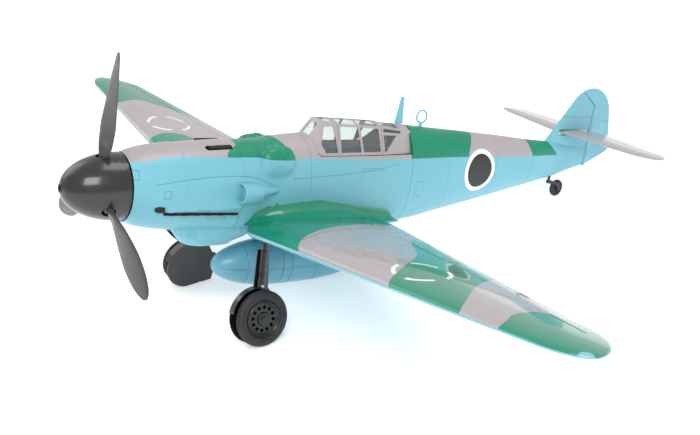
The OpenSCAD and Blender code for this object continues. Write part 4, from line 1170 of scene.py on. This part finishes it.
TAIL_HALF_SPAN = 178.0
TAILPLANE_Z = 65.0
ELEVATOR_HINGE = 928.0
ELEVATOR_NOSE = 3.4
RUDDER_HINGE = 941.0
TAIL_TIP_FROM = 140
FIN_TOP = 141.6
FIN_CURVE_FROM = 128


def tail_section(x):
    """Leading edge and chord of the tailplane with its elevator, at a distance out."""
    x = abs(x)
    past = (x - TAIL_TIP_FROM) / (TAIL_HALF_SPAN - TAIL_TIP_FROM)
    k = 1.0 if past < 0 else math.sqrt(max(0.004, 1 - past ** 2))
    full = 99 - 0.245 * x
    chord = full * k
    return 863 + 0.145 * x + 0.4 * (full - chord), chord


def tail_ring(x, f):
    lead, chord = tail_section(x)
    rise = chord * half_thick(f, 0.085) + 0.3
    upper, lower = (section(x, lead + f * chord, TAILPLANE_Z + way * rise) for way in (1, -1))
    return np.concatenate([upper[::-1], lower[1:]])


def tailplane():
    f = chord_shares(34)
    tip = TAIL_TIP_FROM + (TAIL_HALF_SPAN - TAIL_TIP_FROM) * np.sin(quarter(16))
    half = np.concatenate([np.linspace(0, TAIL_TIP_FROM, 20)[:-1], tip])
    xs = np.concatenate([-half[:0:-1], half])
    obj = raw("tailplane_skin", grid([tail_ring(x, f) for x in xs]), tailplane_finish)
    cut(obj, box((-166.8, ELEVATOR_HINGE - ELEVATOR_NOSE - PLAY, 40), (166.8, 1010, 90)), tailplane_finish)
    finish_piece(obj, "airframe", ["tailplane"], 28)


def elevator_half():
    rings = []
    for x in np.linspace(9, 166, 60):
        lead, chord = tail_section(x)
        f = np.linspace((ELEVATOR_HINGE - lead) / chord, 1, 14)
        rise = chord * half_thick(f, 0.085) + 0.3
        rings.append(surface_ring(x, lead + f * chord, TAILPLANE_Z, rise, (ELEVATOR_HINGE, TAILPLANE_Z),
                                  (min(rise[0], ELEVATOR_NOSE), rise[0]), 13))
    return grid(rings)


def elevator():
    """Both halves with room between them for the rudder, joined by a rod."""
    obj = raw("elevator_skin", both_sides(elevator_half()), tailplane_finish)
    wedge = ([(x, s, z) for x, s in ((8, 930), (8, 1010), (30, 1010)) for z in (40, 90)],
             [(0, 2, 4), (1, 5, 3), (0, 1, 3, 2), (2, 3, 5, 4), (4, 5, 1, 0)])
    cut(obj, both_sides(wedge), tailplane_finish)
    cut(obj, along((-10, ELEVATOR_HINGE, TAILPLANE_Z), (10, ELEVATOR_HINGE, TAILPLANE_Z), 1.5), None, "UNION")
    finish_piece(obj, "elevator", ["elevator"], 40)


def hull(points):
    """Convex outline of points in the plane, anticlockwise."""
    points = sorted(map(tuple, points))

    def half(seq):
        line = []
        for p in seq:
            while len(line) > 1 and ((line[-1][0] - line[-2][0]) * (p[1] - line[-2][1])
                                     - (line[-1][1] - line[-2][1]) * (p[0] - line[-2][0])) <= 0:
                line.pop()
            line.append(p)
        return line[:-1]
    return half(points) + half(points[::-1])


def tail_reach(z):
    """First and last station of the fin and rudder's outline at a height."""
    a = np.linspace(0, 2 * math.pi, 181)
    shape = [*zip(930 + 54 * np.cos(a), 88 + 54 * np.sin(a)), *zip(992 + 8 * np.cos(a), 36 + 8 * np.sin(a)),
             (834, 51), (834, 38), (RUDDER_HINGE - 4, 4), (RUDDER_HINGE, 4)]
    outline = hull(shape)
    hits = []
    for p, q in zip(outline, outline[1:] + outline[:1]):
        if (p[1] - z) * (q[1] - z) <= 0 and p[1] != q[1]:
            hits.append(p[0] + (q[0] - p[0]) * (z - p[1]) / (q[1] - p[1]))
    return min(hits), max(hits)


def upright_section(z, first, last):
    """The fin's aerofoil at a height, between two stations."""
    half = 6.0 + (3.4 - 6.0) * (z - 30) / 113
    length = last - first
    f = chord_shares(30)
    nose = np.minimum(1, np.sqrt(np.maximum(0, 1 - (1 - f / 0.35).clip(0) ** 2)))
    wide = half * nose * (1 - ease(0.35, 1, f) * 0.8)
    wide = wide * min(1, length / 60) + 0.25
    side = np.stack([wide, first + f * length, np.full(30, z)], 1)
    return np.concatenate([side[::-1], side[1:] * (-1, 1, 1)])


def upright(low):
    """The fin and rudder as one blade from a height to the top."""
    heights = np.concatenate([np.linspace(low, FIN_CURVE_FROM, 26), FIN_TOP - (FIN_TOP - FIN_CURVE_FROM)
                              * np.cos(quarter(14))[1:]])
    heights = np.unique(np.round(np.clip(heights, low, FIN_TOP), 4))
    return grid([upright_section(z, *tail_reach(z)) for z in heights])


def fin():
    obj = raw("fin_skin", upright(30), fin_finish)
    rear = [(860, 145.5), (880, 139), (906, 133), (933, 113), (934.8, 113), (934.8, 20), (1040, 20),
            (1040, 160), (860, 160)]
    cut(obj, side_plate(rear), fin_finish)
    cut(obj, box((-20, 860, TAILPLANE_Z - 5.2), (20, 940, TAILPLANE_Z + 5.2)), fin_finish)
    finish_piece(obj, "airframe", ["fin"], 28)


def rudder():
    obj = raw("rudder_skin", upright(6), fin_finish)
    front = [(800, -20), (RUDDER_HINGE, -20), (RUDDER_HINGE, 114), (935, 114), (906, 134), (880, 140),
             (860, 146), (800, 146)]
    cut(obj, side_plate(front), fin_finish)
    nose = solid([(4.7, 5), (3.3, 116)], 40)
    cut(obj, moved(nose, (0, RUDDER_HINGE, 0)), None, "UNION")
    finish_piece(obj, "rudder", ["rudder"], 28)


tailplane()
elevator()
fin()
rudder()

# ------------------------------------------------------------------ drop tank

TANK_NOSE = 219.0
TANK_LEN = 275.0
TANK_R = 34.5
TANK_Z = -120.0


def drop_tank():
    """A tank with grooves at its seams, and its filler cap."""
    front = [(TANK_R * math.sin(a), TANK_LEN * 0.36 * (1 - math.cos(a)))
             for a in quarter(34, 0.02)]
    back = [(TANK_R * math.sin(a) ** 1.25, TANK_LEN * (0.5 + 0.5 * math.cos(a)))
            for a in np.linspace(math.pi / 2, 0.04, 44)]
    table = np.array(front + back)
    seams = [s - TANK_NOSE for s in TANK_SEAMS]
    along_tank = np.unique(np.concatenate([np.linspace(table[0, 1], table[-1, 1], 120),
                                           *[np.linspace(s - 1.2, s + 1.2, 7) for s in seams]]))
    radius = np.interp(along_tank, table[:, 1], table[:, 0])
    for s in seams:
        radius = radius - 0.5 * np.exp(-((along_tank - s) / 0.5) ** 2)
    body = solid(list(zip(radius, along_tank)), 96)
    body = moved(body, (0, TANK_NOSE, TANK_Z), ALONG_SHAFT)
    cap = solid([(4.4, 0), (4.4, 2.2), (3.8, 2.8), (1.2, 2.8), (1.0, 3.6), (0.2, 3.6)], 32)
    piece("tank_skin", body, tank_finish, "airframe", ["drop_tank"])
    piece("tank_cap", moved(cap, (0, 284, TANK_Z + TANK_R - 0.6)), tank_finish, "airframe")


drop_tank()

# ------------------------------------------------------------------ wheels and gear

def on_hub(part):
    """A part drawn about the wheel's axis, set on the lowered leg."""
    part = moved(part, (WHEEL_OFFSET, 0, -LEG_LEN), turn("Y", 90))
    return moved(part, TRUNNION, LEG_DOWN)


def tyres():
    """Tyres with grooves round the tread and a ring on the sidewall."""
    profile = []
    for a in np.linspace(-0.72 * math.pi, 0.72 * math.pi, 41):
        r = TYRE_R - 7.5 + 7.5 * math.cos(a)
        h = TYRE_W / 2 * math.sin(a)
        if abs(a) < 0.5 and min(abs(h - k) for k in (-2.2, 0, 2.2)) < 0.3:
            r -= 0.5
        r -= 0.35 * math.exp(-((abs(a) - 1.9) / 0.09) ** 2)
        profile.append((r, h))
    profile += [(24.3, 3.4), (24.3, -3.4)]
    pair("tyre_skin", on_hub(ring_lathe(profile, 120)), tyre_finish, "wheel_{}", "tyre_{}", 40)


def hub_trims():
    """Bolts, cap and rim ring on the outer face of the hubs."""
    bolt = solid([(1.0, 4.0), (1.0, 5.6), (0.5, 6.0)], 12)
    angles = [math.radians(45 * k + 10) for k in range(8)]
    bolts = [moved(bolt, (6.6 * math.cos(a), 6.6 * math.sin(a), -0.8)) for a in angles]
    cap = solid([(4.6, 4.6), (4.6, 6.2), (4.1, 6.8), (2.2, 7.1), (2.0, 6.6), (0.3, 6.6)], 40)
    rim = ring_lathe([(21.4, 4.2), (22.6, 5.4), (23.6, 4.4), (22.6, 3.8)], 96)
    pair("hub_trim", on_hub(together(*bolts, cap, rim)), hub_finish, "wheel_{}")


def leg_trims():
    """Collars, sleeves and a clamp nut on the legs."""
    profiles = [[(3.8, h - w), (4.7, h - w + 0.3), (4.7, h + w - 0.3), (3.8, h + w)]
                for h, w in ((-24, 1.4), (-47, 1.8))]
    profiles += [[(3.05, -75.6), (4.0, -75.3), (4.0, -72.7), (3.05, -72.4)],
                 [(3.05, -95.4), (4.4, -95.1), (4.4, -91), (3.05, -90.6)],
                 [(3.8, -45), (5.0, -44.6), (5.4, -15), (3.8, -14.4)],
                 [(3.8, -62), (5.0, -61.6), (5.0, -49.4), (3.8, -49)]]
    collars = together(*[ring_lathe(profile, 48) for profile in profiles])
    nut = solid([(1.7, 0), (1.7, 2.4), (1.2, 2.8)], 6)
    nut = moved(nut, (4.2, -1.5, -61.5), turn("Y", 90))
    pair("leg_collars", moved(collars, TRUNNION, LEG_DOWN), gear_finish, "gear_{}")
    pair("clamp_nut", moved(nut, TRUNNION, LEG_DOWN), alloy_finish, "gear_{}")


tyres()
hub_trims()
leg_trims()

# ------------------------------------------------------------------ camera, light and floor

CAMERA = (1087, -409, 360)
TARGET = (0, 444.8, -64.2)
ROLL = -1.8
LENS = 49.9
# Half the floor's width, in metres.
FLOOR = 40


def camera():
    data = bpy.data.cameras.new("camera")
    data.lens = LENS
    data.sensor_width = 36
    obj = linked("camera", data)
    place, target = (Vector(world([p])[0]) for p in (CAMERA, TARGET))
    aim = (target - place).to_track_quat("-Z", "Y").to_matrix().to_4x4()
    obj.matrix_world = Matrix.Translation(place) @ aim @ Matrix.Rotation(math.radians(ROLL), 4, "Z")
    bpy.context.scene.camera = obj


def lamp(name, place, size, power):
    """A square softbox that faces the middle of the aircraft."""
    data = bpy.data.lights.new(name, "AREA")
    data.shape = "SQUARE"
    data.size = size
    data.energy = power
    obj = linked(name, data)
    obj.location = place
    obj.rotation_mode = "QUATERNION"
    obj.rotation_quaternion = (Vector((0, 0, 0.15)) - Vector(place)).to_track_quat("-Z", "Y")


def studio():
    scene = bpy.context.scene
    scene.view_settings.view_transform = "Standard"
    room = bpy.data.worlds.new("studio")
    room.use_nodes = True
    back = room.node_tree.nodes["Background"]
    back.inputs["Color"].default_value = (1, 1, 1, 1)
    back.inputs["Strength"].default_value = 0.72
    scene.world = room
    lamp("key", (2.2, -1.6, 2.6), 1.6, 55)
    lamp("fill", (-2.4, -1.2, 2.0), 2.0, 16)
    lamp("top", (0.2, 0.8, 3.0), 1.4, 22)
    sh = Shader("floor")
    tone = sh.mix(sh.noise(6.0), (0.90, 0.90, 0.90, 1), (0.93, 0.93, 0.93, 1))
    paper = sh.surface(Base_Color=tone, Roughness=0.8, Emission_Color=(1, 1, 1, 1), Emission_Strength=0.4)
    data = bpy.data.meshes.new("floor")
    corners = [(-FLOOR, -FLOOR, 0), (FLOOR, -FLOOR, 0), (FLOOR, FLOOR, 0), (-FLOOR, FLOOR, 0)]
    data.from_pydata(corners, [], [(0, 1, 2, 3)])
    data.materials.append(paper)
    floor = linked("floor", data)


camera()
studio()
